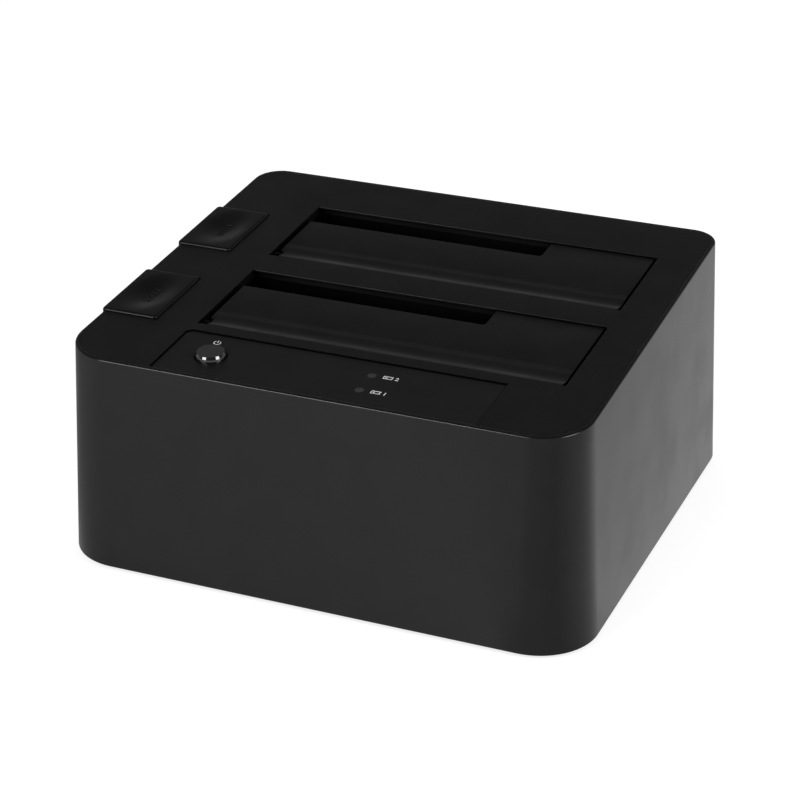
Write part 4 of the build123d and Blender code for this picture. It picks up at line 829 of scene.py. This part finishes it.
@dataclass(frozen=True)
class PrintedMarks:
    """Generic marks printed on the control panel: a power sign, and a drive sign with its number."""

    height: float = 1.45 * MM
    line: float = 0.26 * MM
    thickness: float = 0.02 * MM
    sign_radius: float = 1.05 * MM
    sign_gap: float = 36.0  # degrees each side of the sign's bar
    sign_steps: int = 40
    bar_rise: float = 1.15  # the bar's length against the radius
    drive_length: float = 2.6 * MM
    dot_share: float = 0.2  # the drive mark's radius against the height
    dot_sides: int = 24
    text_size: float = 2.05 * MM
    text_weight: float = 0.12  # how much bolder the number is, against the line

    def power_sign(self) -> bmesh.types.BMesh:
        """Draws the power sign.

        Returns:
            A broken ring with a bar in its gap, about the origin.
        """
        form = bmesh.new()
        start, end = 90.0 + self.sign_gap, 450.0 - self.sign_gap
        outer = arc_points(self.sign_radius, start, end, self.sign_steps)
        inner = arc_points(self.sign_radius - self.line, start, end, self.sign_steps)
        add_plate(form, outer + inner[::-1], self.thickness)
        half = self.line / 2
        top = self.sign_radius * self.bar_rise
        bar = [Vector((x, y, 0.0)) for x, y in ((-half, 0.0), (half, 0.0), (half, top), (-half, top))]
        add_plate(form, bar, self.thickness)
        return form

    def drive_sign(self) -> bmesh.types.BMesh:
        """Draws a small drive as it looks from above.

        Returns:
            A frame with a round mark in it, its lower left corner at the origin.
        """
        form = bmesh.new()
        wide, tall, line = self.drive_length, self.height, self.line
        for low, high in (
            ((0, 0), (wide, line)),
            ((0, tall - line), (wide, tall)),
            ((0, line), (line, tall - line)),
            ((wide - line, line), (wide, tall - line)),
        ):
            corners = ((low[0], low[1]), (high[0], low[1]), (high[0], high[1]), (low[0], high[1]))
            add_plate(form, [Vector((x, y, 0.0)) for x, y in corners], self.thickness)
        centre = Vector(((tall + line) / 2, tall / 2, 0.0))
        last = 360.0 * (1 - 1 / self.dot_sides)
        dot = arc_points(tall * self.dot_share, 0.0, last, self.dot_sides - 1)
        add_plate(form, [point + centre for point in dot], self.thickness)
        return form

    def number(self, text: str) -> bpy.types.Mesh:
        """Sets a number in plain type.

        Args:
            text: The number.

        Returns:
            Its mesh, with the lower left corner at the origin.
        """
        curve = bpy.data.curves.new("number", "FONT")
        curve.body = text
        curve.size = self.text_size
        curve.extrude = self.thickness / 2
        curve.offset = self.line * self.text_weight
        mesh = curve_mesh(curve)
        mesh.transform(Matrix.Translation((0.0, 0.0, self.thickness / 2)))
        return mesh


# Meshes in the making


def stamp(target: bmesh.types.BMesh, form: bmesh.types.BMesh, place: Matrix) -> None:
    """Adds a form to a mesh in the making.

    Args:
        target: The mesh in the making.
        form: What is added, and then freed.
        place: Where it goes.
    """
    form.transform(place)
    loose = bpy.data.meshes.new("stamp")
    form.to_mesh(loose)
    form.free()
    target.from_mesh(loose)
    bpy.data.meshes.remove(loose)


def trim(form: bmesh.types.BMesh, point: Vector, away: Vector) -> None:
    """Cuts off what lies beyond a plane, and closes the cut.

    Args:
        form: The closed mesh to cut.
        point: A point on the plane.
        away: The way that the cut-off side lies.
    """
    parts = [*form.verts, *form.edges, *form.faces]
    cut = bmesh.ops.bisect_plane(form, geom=parts, plane_co=point, plane_no=away, clear_outer=True)
    edges = [part for part in cut["geom_cut"] if isinstance(part, bmesh.types.BMEdge)]
    bmesh.ops.triangle_fill(form, use_beauty=True, edges=edges)


def finished(form: bmesh.types.BMesh, mesh: bpy.types.Mesh) -> bpy.types.Mesh:
    """Writes a form to a mesh.

    Args:
        form: The finished form, which is freed.
        mesh: The mesh that takes it.

    Returns:
        The mesh, smooth but for its true edges.
    """
    for face in form.faces:
        face.smooth = True
    form.to_mesh(mesh)
    form.free()
    mesh.set_sharp_from_angle(angle=SmoothForm.sharp_angle)
    return mesh


def copy_of(node: bpy.types.Object) -> bpy.types.Mesh:
    """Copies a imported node.

    Args:
        node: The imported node.

    Returns:
        A copy of its welded mesh, in place.
    """
    mesh = worked_out(node)
    mesh.transform(node.matrix_world)
    return mesh


def wire(path: Sequence[Vector], thickness: float) -> bpy.types.Mesh:
    """A round wire along a path.

    Args:
        path: The points that it runs through.
        thickness: Its diameter.

    Returns:
        Its mesh.
    """
    curve = bpy.data.curves.new("wire", "CURVE")
    curve.dimensions = "3D"
    curve.bevel_depth = thickness / 2
    curve.bevel_resolution = WIRE_ROUNDNESS
    curve.use_fill_caps = True
    spline = curve.splines.new("POLY")
    spline.points.add(len(path) - 1)
    for point, place in zip(spline.points, path):
        point.co = (*place, 1.0)
    mesh = curve_mesh(curve)
    form = bmesh.new()
    form.from_mesh(mesh)
    return finished(form, mesh)


def middle_of(node: str) -> Vector:
    """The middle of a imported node's box."""
    low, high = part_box(node)
    return (low + high) / 2


# Sub-assemblies


@dataclass(frozen=True)
class EjectSpring:
    """The wound compression spring under an eject button; the real one shortens as the button goes down,
    while this wound piece keeps its length on the dock.
    """

    thickness: float = 0.6 * MM
    turns: float = 7.0
    points: int = 28  # on each turn
    travel: float = 4.0 * MM

    def build(self, shop: Workshop, end: str) -> None:
        """Winds the spring between the shelf and the cap.

        Args:
            shop: The workshop that holds the frame.
            end: Which button it belongs to.
        """
        low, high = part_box(f"eject_spring_{end}")
        middle = (low + high) / 2
        radius = (high.x - low.x - self.thickness) / 2
        foot, top = low.z + self.thickness / 2, high.z - self.thickness / 2
        path = []
        for step in range(int(self.turns * self.points) + 1):
            turn = step / self.points
            share = min(max((turn - 1) / (self.turns - 2), 0.0), 1.0)
            closed = min(turn, 1.0) + max(turn - self.turns + 1, 0.0)  # the end turns lie close
            level = foot + self.thickness * closed + (top - foot - 2 * self.thickness) * share
            angle = math.tau * turn
            x, y = middle.x + radius * math.cos(angle), middle.y + radius * math.sin(angle)
            path.append(Vector((x, y, level)))
        mesh = wire(path, self.thickness)
        spring = shop.take_in(f"eject_coil_{end}", mesh, "dock", STEEL)
        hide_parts(f"eject_spring_{end}")
        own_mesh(spring)


@dataclass(frozen=True)
class FlapSpring:
    """The torsion spring round a hinge pin: one leg down the well's wall, the other under the flap."""

    thickness: float = 0.5 * MM
    turns: int = 3
    points: int = 24
    leg_drop: float = 0.75 * MM  # the rear leg below the hinge
    leg: float = 7.0 * MM

    def build(self, shop: Workshop, end: str) -> None:
        """Winds the spring; its rear leg lies along the flap at rest and does not turn with it.

        Args:
            shop: The workshop that holds the frame.
            end: Which flap it belongs to.
        """
        low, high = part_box(f"flap_spring_{end}")
        hinge = middle_of(f"flap_pin_{end}")
        radius = hinge.y - low.y - self.thickness / 2
        left, right = low.x + self.thickness / 2, high.x - self.thickness / 2
        last = math.asin(self.leg_drop / radius)
        sweep = math.pi + last + math.tau * self.turns
        steps = self.turns * self.points
        path = [Vector((left, hinge.y - radius, low.z))]
        for step in range(steps + 1):
            angle = math.pi - sweep * step / steps
            x = left + (right - left) * step / steps
            y, z = hinge.y + radius * math.cos(angle), hinge.z + radius * math.sin(angle)
            path.append(Vector((x, y, z)))
        slope = Matrix.Rotation(Deck.slope, 3, "X")
        path.append(Vector((right, hinge.y, hinge.z)) + slope @ Vector((0.0, self.leg, -self.leg_drop)))
        spring = shop.take_in(f"flap_coil_{end}", wire(path, self.thickness), None, BLACK_STEEL)
        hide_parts(f"flap_spring_{end}")
        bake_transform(spring)


@dataclass(frozen=True)
class Shell:
    """The outside of the dock: case, floor, feet and their screws."""

    def build(self, shop: Workshop) -> None:
        """Dresses the shell.

        Args:
            shop: The workshop that holds the frame.
        """
        shop.dress(CASE, "outer_case")
        shop.dress(TRAY, "base_tray")
        shop.dress(RUBBER, "rubber_feet")
        shop.dress(SCREW_STEEL, "base_screws", "board_screws", "well_screws", "small_board_screws")


@dataclass(frozen=True)
class Deck:
    """The sloping cover with its control panel, power button, indicators and printed marks."""

    slope: float = math.radians(3.532)
    proud: float = 0.004 * MM
    power_sign_behind: float = 7.1 * MM  # from the middle of the button
    power_sign_left: float = 1.7 * MM
    drive_sign_beside: float = 3.1 * MM  # from the middle of the indicator
    number_beside: float = 3.3 * MM  # from the left end of the drive sign
    marks: PrintedMarks = PrintedMarks()

    def build(self, shop: Workshop) -> None:
        """Dresses the deck and prints its marks.

        Args:
            shop: The workshop that holds the frame.
        """
        shop.dress(COVER, "top_cover")
        shop.dress(PANEL, "control_panel")
        shop.dress(PLATED, "power_button")
        shop.dress(LENS, "light_pipes")
        shop.dress(LED, "status_leds")
        self.print_marks(shop)

    def on_panel(self, x: float, y: float) -> Matrix:
        """Finds a place on the panel's top.

        Args:
            x: Where, from left to right.
            y: Where, from front to rear.

        Returns:
            The place just over the panel, with Z square to it.
        """
        low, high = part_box("control_panel")
        level = high.z + (y - high.y) * math.tan(self.slope)
        turn = Matrix.Rotation(self.slope, 4, "X")
        return Matrix.Translation((x, y, level)) @ turn @ Matrix.Translation((0.0, 0.0, self.proud))

    def print_marks(self, shop: Workshop) -> None:
        """Prints the power sign and the two numbered drive signs.

        Args:
            shop: The workshop that holds the frame.
        """
        print_run = bmesh.new()
        button = middle_of("power_button")
        place = self.on_panel(button.x - self.power_sign_left, button.y + self.power_sign_behind)
        stamp(print_run, self.marks.power_sign(), place)
        low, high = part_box("light_pipes")
        radius = (high.x - low.x) / 2
        x = (low.x + high.x) / 2 + self.drive_sign_beside
        for text, y in (("1", low.y + radius), ("2", high.y - radius)):
            base = y - self.marks.height / 2
            stamp(print_run, self.marks.drive_sign(), self.on_panel(x, base))
            digit = bmesh.new()
            digit.from_mesh(self.marks.number(text))
            stamp(print_run, digit, self.on_panel(x + self.number_beside, base))
        bmesh.ops.recalc_face_normals(print_run, faces=print_run.faces)
        mesh = bpy.data.meshes.new("panel_marks")
        print_run.to_mesh(mesh)
        print_run.free()
        shop.take_in("panel_marks", mesh, "dock", INK)


@dataclass(frozen=True)
class RolledFlap:
    """A dust flap whose front runs through a soft valley up to a roll along the hinge.

    Places are in a section across the hinge: Y to the rear from its pin, Z square to the flap.
    """

    plate_top: float = 1.35 * MM
    valley_rear: float = 7.4 * MM
    valley_start: float = 5.6 * MM
    valley_middle: float = 2.6 * MM
    valley_level: float = 1.12 * MM
    crest: tuple[float, float] = (-1.75 * MM, 1.85 * MM)
    nose: float = 0.4 * MM  # round at the roll's front
    crest_ease: float = 1.25  # how late the rise to the crest steepens
    seat: float = 1.10 * MM  # underside of the roll
    lap: float = 0.02 * MM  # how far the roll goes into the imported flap
    join: float = 3.6 * MM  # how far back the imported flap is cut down
    left_step: float = 1.5 * MM  # from the plate's left end to the roll's
    steps: int = 14

    def section(self) -> list[Vector]:
        """Draws the section of the flap's front.

        Returns:
            The points of its top, from the rear to the nose and down.
        """
        points = [(self.valley_rear, self.plate_top)]
        fall, rise = self.plate_top - self.valley_level, self.crest[1] - self.valley_level
        for step in range(self.steps + 1):
            share = step / self.steps
            y = self.valley_start + (self.valley_middle - self.valley_start) * share
            points.append((y, self.plate_top - fall * (1 - math.cos(math.pi * share)) / 2))
        for step in range(1, self.steps + 1):
            share = step / self.steps
            y = self.valley_middle + (self.crest[0] - self.valley_middle) * share
            ease = math.sin(math.pi / 2 * share**self.crest_ease) ** 2
            points.append((y, self.valley_level + rise * ease))
        for step in range(1, self.steps // 2 + 1):
            angle = math.pi / 2 * step / (self.steps // 2)
            y = self.crest[0] - self.nose * math.sin(angle)
            points.append((y, self.crest[1] - self.nose * (1 - math.cos(angle))))
        return [Vector((0.0, y, z)) for y, z in points]

    def bar(self, left: float, right: float, front: float) -> bmesh.types.BMesh:
        """A bar with the section on its top.

        Args:
            left: Its left end.
            right: Its right end.
            front: How far forward it reaches at most.

        Returns:
            The bar, about the hinge.
        """
        top = [point for point in self.section() if point.y >= front]
        foot = [Vector((0.0, y, self.seat)) for y in (top[-1].y, self.valley_rear)]
        outline = [*top, *foot]
        form = bmesh.new()
        places = (Vector((x, 0.0, 0.0)) for x in (left, right))
        ends = [[form.verts.new(point + place) for point in outline] for place in places]
        form.faces.new(ends[0][::-1])
        form.faces.new(ends[1])
        for index in range(len(outline)):
            form.faces.new((ends[0][index - 1], ends[0][index], ends[1][index], ends[1][index - 1]))
        bmesh.ops.recalc_face_normals(form, faces=form.faces)
        return form

    def mesh(self, flap: bpy.types.Object, pin: str, slope: float) -> bpy.types.Mesh:
        """Gives a packed flap its rolled front.

        Args:
            flap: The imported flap.
            pin: The name of its hinge pin.
            slope: How far the cover leans, in radians.

        Returns:
            The whole flap.
        """
        hinge = middle_of(pin)
        place = Matrix.Translation((0.0, hinge.y, hinge.z)) @ Matrix.Rotation(slope, 4, "X")
        turned = place.to_3x3()
        mesh = copy_of(flap)
        line = place @ Vector((0.0, self.join, 0.0))
        whole = bmesh.new()
        for away in (-1.0, 1.0):
            half = bmesh.new()
            half.from_mesh(mesh)
            trim(half, line, turned @ Vector((0.0, away, 0.0)))
            if away > 0:
                level = place @ Vector((0.0, 0.0, self.seat + self.lap))
                trim(half, level, turned @ Vector((0.0, 0.0, 1.0)))
            stamp(whole, half, Matrix())
        low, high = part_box(flap.name)
        step = low.x + self.left_step
        stamp(whole, self.bar(step, high.x, self.crest[0] - self.nose), place)
        stamp(whole, self.bar(low.x, step, self.join), place)
        return finished(whole, mesh)


@dataclass(frozen=True)
class DriveBay:
    """One bay: its well, flap, hinge and drive socket."""

    bay: Bay
    front: RolledFlap = RolledFlap()
    spring: FlapSpring = FlapSpring()

    def build(self, shop: Workshop) -> None:
        """Dresses the bay's nodes.

        Args:
            shop: The workshop that holds the frame.
        """
        end = self.bay.value
        shop.dress(SHADED_WELL, f"bay_well_{end}")
        shop.dress(FLAP, f"bay_flap_{end}")
        packed = shop.nodes[f"bay_flap_{end}"]
        made = self.front.mesh(packed, f"flap_pin_{end}", Deck.slope)
        flap = shop.take_in(f"dust_flap_{end}", made, f"flap_{end}", FLAP)
        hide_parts(packed.name)
        shop.dress(BLACK_STEEL, f"flap_pin_{end}", f"flap_spring_{end}")
        self.spring.build(shop, end)
        shop.dress(SOCKET, f"sata_connector_{end}")
        shop.dress(GOLD, f"sata_contacts_{end}")


@dataclass(frozen=True)
class ScoopedCap:
    """The cap of an eject button: a pad with soft edges and a wide, shallow scoop for a fingertip.

    Its crown is laid in rings that follow the cap's outline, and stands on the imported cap's lower part.
    """

    width: float = 16.7 * MM
    length: float = 26.3 * MM
    corner: float = 1.2 * MM
    least_corner: float = 0.05 * MM
    edge_round: float = 0.75 * MM
    crown: float = 1.4 * MM  # how deep the crown reaches
    sink: float = 0.05 * MM  # how far it goes into the lower part
    scoop_depth: float = 1.15 * MM
    scoop_width: float = 15.6 * MM
    scoop_length: float = 25.0 * MM
    ring_pitch: float = 0.4 * MM
    weld: float = 0.005 * MM  # what closes the innermost ring
    round_steps: int = 7
    corner_steps: int = 6
    side_steps: tuple[int, int] = (40, 60)  # along the width and the length

    def ring(self, inset: float) -> list[tuple[float, float]]:
        """The cap's outline, moved inwards.

        Args:
            inset: How far.

        Returns:
            Its points, anticlockwise, as many for every inset.
        """
        wide, long = self.width / 2 - inset, self.length / 2 - inset
        radius = min(max(self.corner - inset, self.least_corner), wide)
        points: list[tuple[float, float]] = []
        for quarter, (sx, sy) in enumerate(((1, 1), (-1, 1), (-1, -1), (1, -1))):
            centre = (sx * (wide - radius), sy * (long - radius))
            for step in range(self.corner_steps + 1):
                angle = math.radians(90.0 * (quarter + step / self.corner_steps))
                x, y = centre[0] + radius * math.cos(angle), centre[1] + radius * math.sin(angle)
                points.append((x, y))
            steps = self.side_steps[quarter % 2]
            run = 2 * ((long if quarter % 2 else wide) - radius)
            way = ((-1, 0), (0, -1), (1, 0), (0, 1))[quarter]
            x, y = points[-1]
            for step in range(1, steps):
                points.append((x + way[0] * run * step / steps, y + way[1] * run * step / steps))
        return points

    def height(self, x: float, y: float, inset: float) -> float:
        """Works out how high the crown stands at a point.

        Args:
            x: Where, along the width.
            y: Where, along the length.
            inset: How far inside the outline.

        Returns:
            The height from the level of the crown's top, 0 or less.
        """
        left = max(self.edge_round - inset, 0.0)
        edge = self.edge_round - math.sqrt(self.edge_round**2 - left**2)
        out = math.hypot(2 * x / self.scoop_width, 2 * y / self.scoop_length)
        return -edge - self.scoop_depth * math.cos(min(out, 1.0) * math.pi / 2) ** 2

    def form(self) -> bmesh.types.BMesh:
        """Lays the crown in rings.

        Returns:
            The crown alone, about the middle of its top.
        """
        form = bmesh.new()
        foot = [form.verts.new((x, y, -self.crown - self.sink)) for x, y in self.ring(0.0)]
        form.faces.new(foot[::-1])
        rings = [foot]
        share = range(self.round_steps + 1)
        insets = [self.edge_round * (1 - math.cos(math.pi / 2 * step / self.round_steps)) for step in share]
        count = math.ceil((self.width / 2 - self.edge_round) / self.ring_pitch)
        pitch = (self.width / 2 - self.edge_round) / count
        insets += [self.edge_round + pitch * (step + 1) for step in range(count)]
        for inset in insets:
            rings.append([form.verts.new((x, y, self.height(x, y, inset))) for x, y in self.ring(inset)])
        for outer, inner in zip(rings, rings[1:]):
            for i in range(len(outer)):
                form.faces.new((outer[i - 1], outer[i], inner[i], inner[i - 1]))
        bmesh.ops.remove_doubles(form, verts=rings[-1], dist=self.weld)
        return form

    def mesh(self, button: bpy.types.Object, slope: float) -> bpy.types.Mesh:
        """Sets the crown on the lower part of a packed button.

        Args:
            button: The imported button.
            slope: How far the cover leans, in radians.

        Returns:
            The whole button.
        """
        mesh = copy_of(button)
        low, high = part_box(button.name)
        x, y = low.x + self.width / 2, (low.y + high.y) / 2
        top = max(vertex.co.z - (vertex.co.y - y) * math.tan(slope) for vertex in mesh.vertices)
        place = Matrix.Translation((x, y, top)) @ Matrix.Rotation(slope, 4, "X")
        whole = bmesh.new()
        whole.from_mesh(mesh)
        trim(whole, place @ Vector((0.0, 0.0, -self.crown)), place.to_3x3() @ Vector((0.0, 0.0, 1.0)))
        stamp(whole, self.form(), place)
        return finished(whole, mesh)


@dataclass(frozen=True)
class EjectKey:
    """One eject button with its lever, spring and the grip bars in its scoop."""

    bay: Bay
    cap: ScoopedCap = ScoopedCap()
    spring: EjectSpring = EjectSpring()
    bar_count: int = 5
    bar_pitch: float = 1.75 * MM
    bar_size: tuple[float, float, float] = (2.5 * MM, 0.78 * MM, 0.5 * MM)
    bar_start: float = 5.0 * MM  # how far above the button the row is before it drops

    def build(self, shop: Workshop) -> None:
        """Dresses the button's nodes and makes its grip bars.

        Args:
            shop: The workshop that holds the frame.
        """
        end = self.bay.value
        shop.dress(BUTTON, f"eject_button_{end}")
        shop.dress(STEEL, f"eject_spring_{end}", f"lever_pin_{end}")
        shop.dress(SHADED_WELL, f"eject_lever_{end}")
        self.spring.build(shop, end)
        packed = shop.nodes[f"eject_button_{end}"]
        made = self.cap.mesh(packed, Deck.slope)
        button = shop.take_in(f"eject_cap_{end}", made, f"eject_{end}", BUTTON)
        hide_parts(packed.name)
        middle = middle_of(packed.name)
        middle.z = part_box(packed.name)[1].z + self.bar_start
        size, along = Vector(self.bar_size), Vector((0.0, 1.0, 0.0))
        row = BarRow(self.bar_count, self.bar_pitch, size, middle, along, button)
        mesh = row.mesh(shop.material(BUTTON))
        shop.take_in(f"eject_grip_{end}", mesh, f"eject_{end}", BUTTON)


@dataclass(frozen=True)
class Electronics:
    """The boards, ports, chips and the lead between the boards."""

    def build(self, shop: Workshop) -> None:
        """Dresses the electronics.

        Args:
            shop: The workshop that holds the frame.
        """
        shop.dress(BOARD, "main_board", "switch_board")
        shop.dress(PORT_STEEL, "usb_port", "crystal")
        shop.dress(INSERT, "usb_tongue")
        shop.dress(SOCKET, "power_jack", "power_switch", "switch_plunger")
        shop.dress(GOLD, "jack_pin")
        shop.dress(CHIP, "bridge_chip")
        shop.dress(COIL, "inductors")
        shop.dress(CAN, "capacitors")
        shop.dress(HEADER, "lead_sockets")
        shop.dress(LEAD, "board_lead")


# Studio and camera


@dataclass(frozen=True)
class Softbox:
    """A square lamp behind a diffuser, aimed at the object."""

    name: str
    azimuth: float  # degrees from +X, anticlockwise from above
    elevation: float
    distance: float
    width: float
    power: float  # in watts
    mirrored: bool = True  # whether glossy surfaces show it

    def build(self, aim: Vector) -> None:
        """Hangs the lamp.

        Args:
            aim: The point that it faces.
        """
        turn, rise = math.radians(self.azimuth), math.radians(self.elevation)
        away = Vector((math.cos(turn) * math.cos(rise), math.sin(turn) * math.cos(rise), math.sin(rise)))
        lamp = bpy.data.lights.new(self.name, "AREA")
        lamp.shape = "SQUARE"
        lamp.size = self.width
        lamp.energy = self.power
        holder = new_object(self.name, lamp)
        holder.location = aim + away * self.distance
        holder.rotation_mode = "QUATERNION"
        holder.rotation_quaternion = (-away).to_track_quat("-Z", "Y")
        holder.visible_glossy = self.mirrored


@dataclass(frozen=True)
class Studio:
    """A pale floor, a white surround and soft lamps."""

    floor_size: float = 12.0
    aim: tuple[float, float, float] = (0.0, 0.0, 0.03)
    lamps: tuple[Softbox, ...] = (
        Softbox("softbox_left", -116.0, 29.0, 0.95, 0.42, 3.4),
        Softbox("softbox_right", -15.0, 28.0, 0.95, 0.42, 3.4),
        Softbox("softbox_rear", 100.0, 70.0, 1.1, 0.7, 1.6, False),
    )
    ambient: float = 0.35
    floor_albedo: float = 0.55
    floor_lift: float = 0.74
    # painted reflection: the centre, and the glow at each direction round it in degrees, of what glossy
    # surfaces see of the floor
    painted_reflection_centre: tuple[float, float] = (58.0 * MM, -50.0 * MM)
    painted_reflection_glow: tuple[tuple[float, float], ...] = (
        (-180.0, 0.30),
        (-165.0, 0.46),
        (-150.0, 0.50),
        (-124.0, 0.56),
        (-112.0, 0.60),
        (-96.0, 0.40),
        (-45.0, 0.32),
        (-15.0, 0.46),
        (25.0, 0.60),
        (46.0, 0.72),
        (96.0, 0.60),
        (125.0, 0.34),
        (180.0, 0.26),
    )
    sky_glow: tuple[tuple[float, float], ...] = (
        (0.0, 0.9),
        (6.0, 0.55),
        (18.0, 0.14),
        (28.0, 0.11),
        (50.0, 0.02),
        (90.0, 0.01),
    )

    def build(self) -> None:
        """Sets up the floor, the surround and the lamps."""
        for lamp in self.lamps:
            lamp.build(Vector(self.aim))
        self.floor()
        self.surround()
        view = bpy.context.scene.view_settings
        view.view_transform = "Standard"
        LOG.info("studio: %d lamps", len(self.lamps))

    def floor(self) -> None:
        """Lays the floor; the camera sees it as white card, and glossy surfaces see a painted reflection
        that changes with the direction round the dock's front right corner.
        """
        half = self.floor_size / 2
        mesh = bpy.data.meshes.new("floor")
        corners = [(-half, -half, 0.0), (half, -half, 0.0), (half, half, 0.0), (-half, half, 0.0)]
        mesh.from_pydata(corners, [], [(0, 1, 2, 3)])
        floor = new_object("floor", mesh)
        material = bpy.data.materials.new("floor_card")
        material.use_nodes = True
        sheet = NodeSheet(material.node_tree)
        path = sheet.add("ShaderNodeLightPath").outputs
        card = sheet.add("ShaderNodeBsdfDiffuse", {"Color": (self.floor_albedo,) * 3 + (1.0,)}).outputs[0]
        lift = sheet.add("ShaderNodeEmission", {"Strength": self.floor_lift}).outputs[0]
        seen = sheet.add("ShaderNodeAddShader", {0: card, 1: lift}).outputs[0]
        # painted reflection: glossy rays see the floor as a glow set by the direction round a point by the
        # dock's corner
        place = sheet.add("ShaderNodeTexCoord").outputs["Object"]
        centre = (-self.painted_reflection_centre[0], -self.painted_reflection_centre[1], 0.0)
        about = sheet.add("ShaderNodeMapping", {"Vector": place, "Location": centre}).outputs[0]
        turn = sheet.add("ShaderNodeTexGradient", {"Vector": about}, gradient_type="RADIAL").outputs["Fac"]
        glow = sheet.scale_of(turn, [(angle / 360.0 + 0.5, value) for angle, value in self.painted_reflection_glow])
        mirrored = sheet.add("ShaderNodeEmission", {"Strength": glow}).outputs[0]
        see_through = sheet.math("MAXIMUM", path["Is Glossy Ray"], path["Is Transmission Ray"])
        bounce = sheet.add("ShaderNodeMixShader", {0: see_through, 1: card, 2: mirrored}).outputs[0]
        shown = sheet.add("ShaderNodeMixShader", {0: path["Is Camera Ray"], 1: bounce, 2: seen}).outputs[0]
        sheet.add("ShaderNodeOutputMaterial", {"Surface": shown})
        mesh.materials.append(material)

    def surround(self) -> None:
        """Makes the surround white to the camera and dim to the surfaces."""
        world = bpy.data.worlds.new("surround")
        world.use_nodes = True
        bpy.context.scene.world = world
        sheet = NodeSheet(world.node_tree)
        path = sheet.add("ShaderNodeLightPath").outputs
        toward = sheet.add("ShaderNodeSeparateXYZ", {0: sheet.add("ShaderNodeTexCoord").outputs["Object"]})
        stops = [(math.sin(math.radians(angle)), value) for angle, value in self.sky_glow]
        sky = sheet.scale_of(toward.outputs["Z"], stops)
        glossy = sheet.math("MULTIPLY", path["Is Glossy Ray"], sky)
        soft = sheet.math("MULTIPLY", path["Is Diffuse Ray"], self.ambient)
        plain = sheet.math("MAXIMUM", path["Is Camera Ray"], path["Is Transmission Ray"])
        strength = sheet.math("MAXIMUM", plain, sheet.math("ADD", glossy, soft))
        background = sheet.add("ShaderNodeBackground", {"Strength": strength}).outputs[0]
        sheet.add("ShaderNodeOutputWorld", {"Surface": background})


@dataclass(frozen=True)
class PhotoCamera:
    """The camera of the photograph: a long lens that looks down on the front right corner."""

    azimuth: float = 22.518  # degrees to the right of the front
    elevation: float = 25.704
    roll: float = -0.080
    distance: float = 670.7 * MM
    lens: float = 106.126  # in millimetres, as the sensor is
    right: float = -1.108 * MM
    up: float = 27.777 * MM
    rise: float = 1.0 * MM
    sensor: float = 36.0
    clip: tuple[float, float] = (0.01, 50.0)

    def build(self) -> None:
        """Places the camera and makes it the scene's own."""
        turn, tilt, roll = (math.radians(angle) for angle in (self.azimuth, self.elevation, self.roll))
        back = Vector((math.sin(turn) * math.cos(tilt), -math.cos(turn) * math.cos(tilt), math.sin(tilt)))
        level = Vector((math.cos(turn), math.sin(turn), 0.0))
        above = back.cross(level)
        right = level * math.cos(roll) + above * math.sin(roll)
        upward = above * math.cos(roll) - level * math.sin(roll)
        data = bpy.data.cameras.new("photo_camera")
        data.sensor_width = self.sensor
        data.lens = self.lens
        data.clip_start, data.clip_end = self.clip
        camera = new_object("photo_camera", data)
        camera.location = back * self.distance + right * self.right + upward * self.up
        camera.location.z += self.rise
        camera.rotation_euler = Matrix((right, upward, back)).transposed().to_euler()
        bpy.context.scene.camera = camera
        LOG.info("camera: %.1f mm lens", self.lens)


def main() -> None:
    """Builds the sub-assemblies, the studio and the camera."""
    logging.basicConfig(level=logging.INFO, format="%(name)s: %(message)s")
    PhotoCamera().build()
    Studio().build()
    shop = Workshop(frame)
    Shell().build(shop)
    Deck().build(shop)
    for bay in Bay:
        DriveBay(bay).build(shop)
        EjectKey(bay).build(shop)
    Electronics().build(shop)


if __name__ == "__main__":
    main()
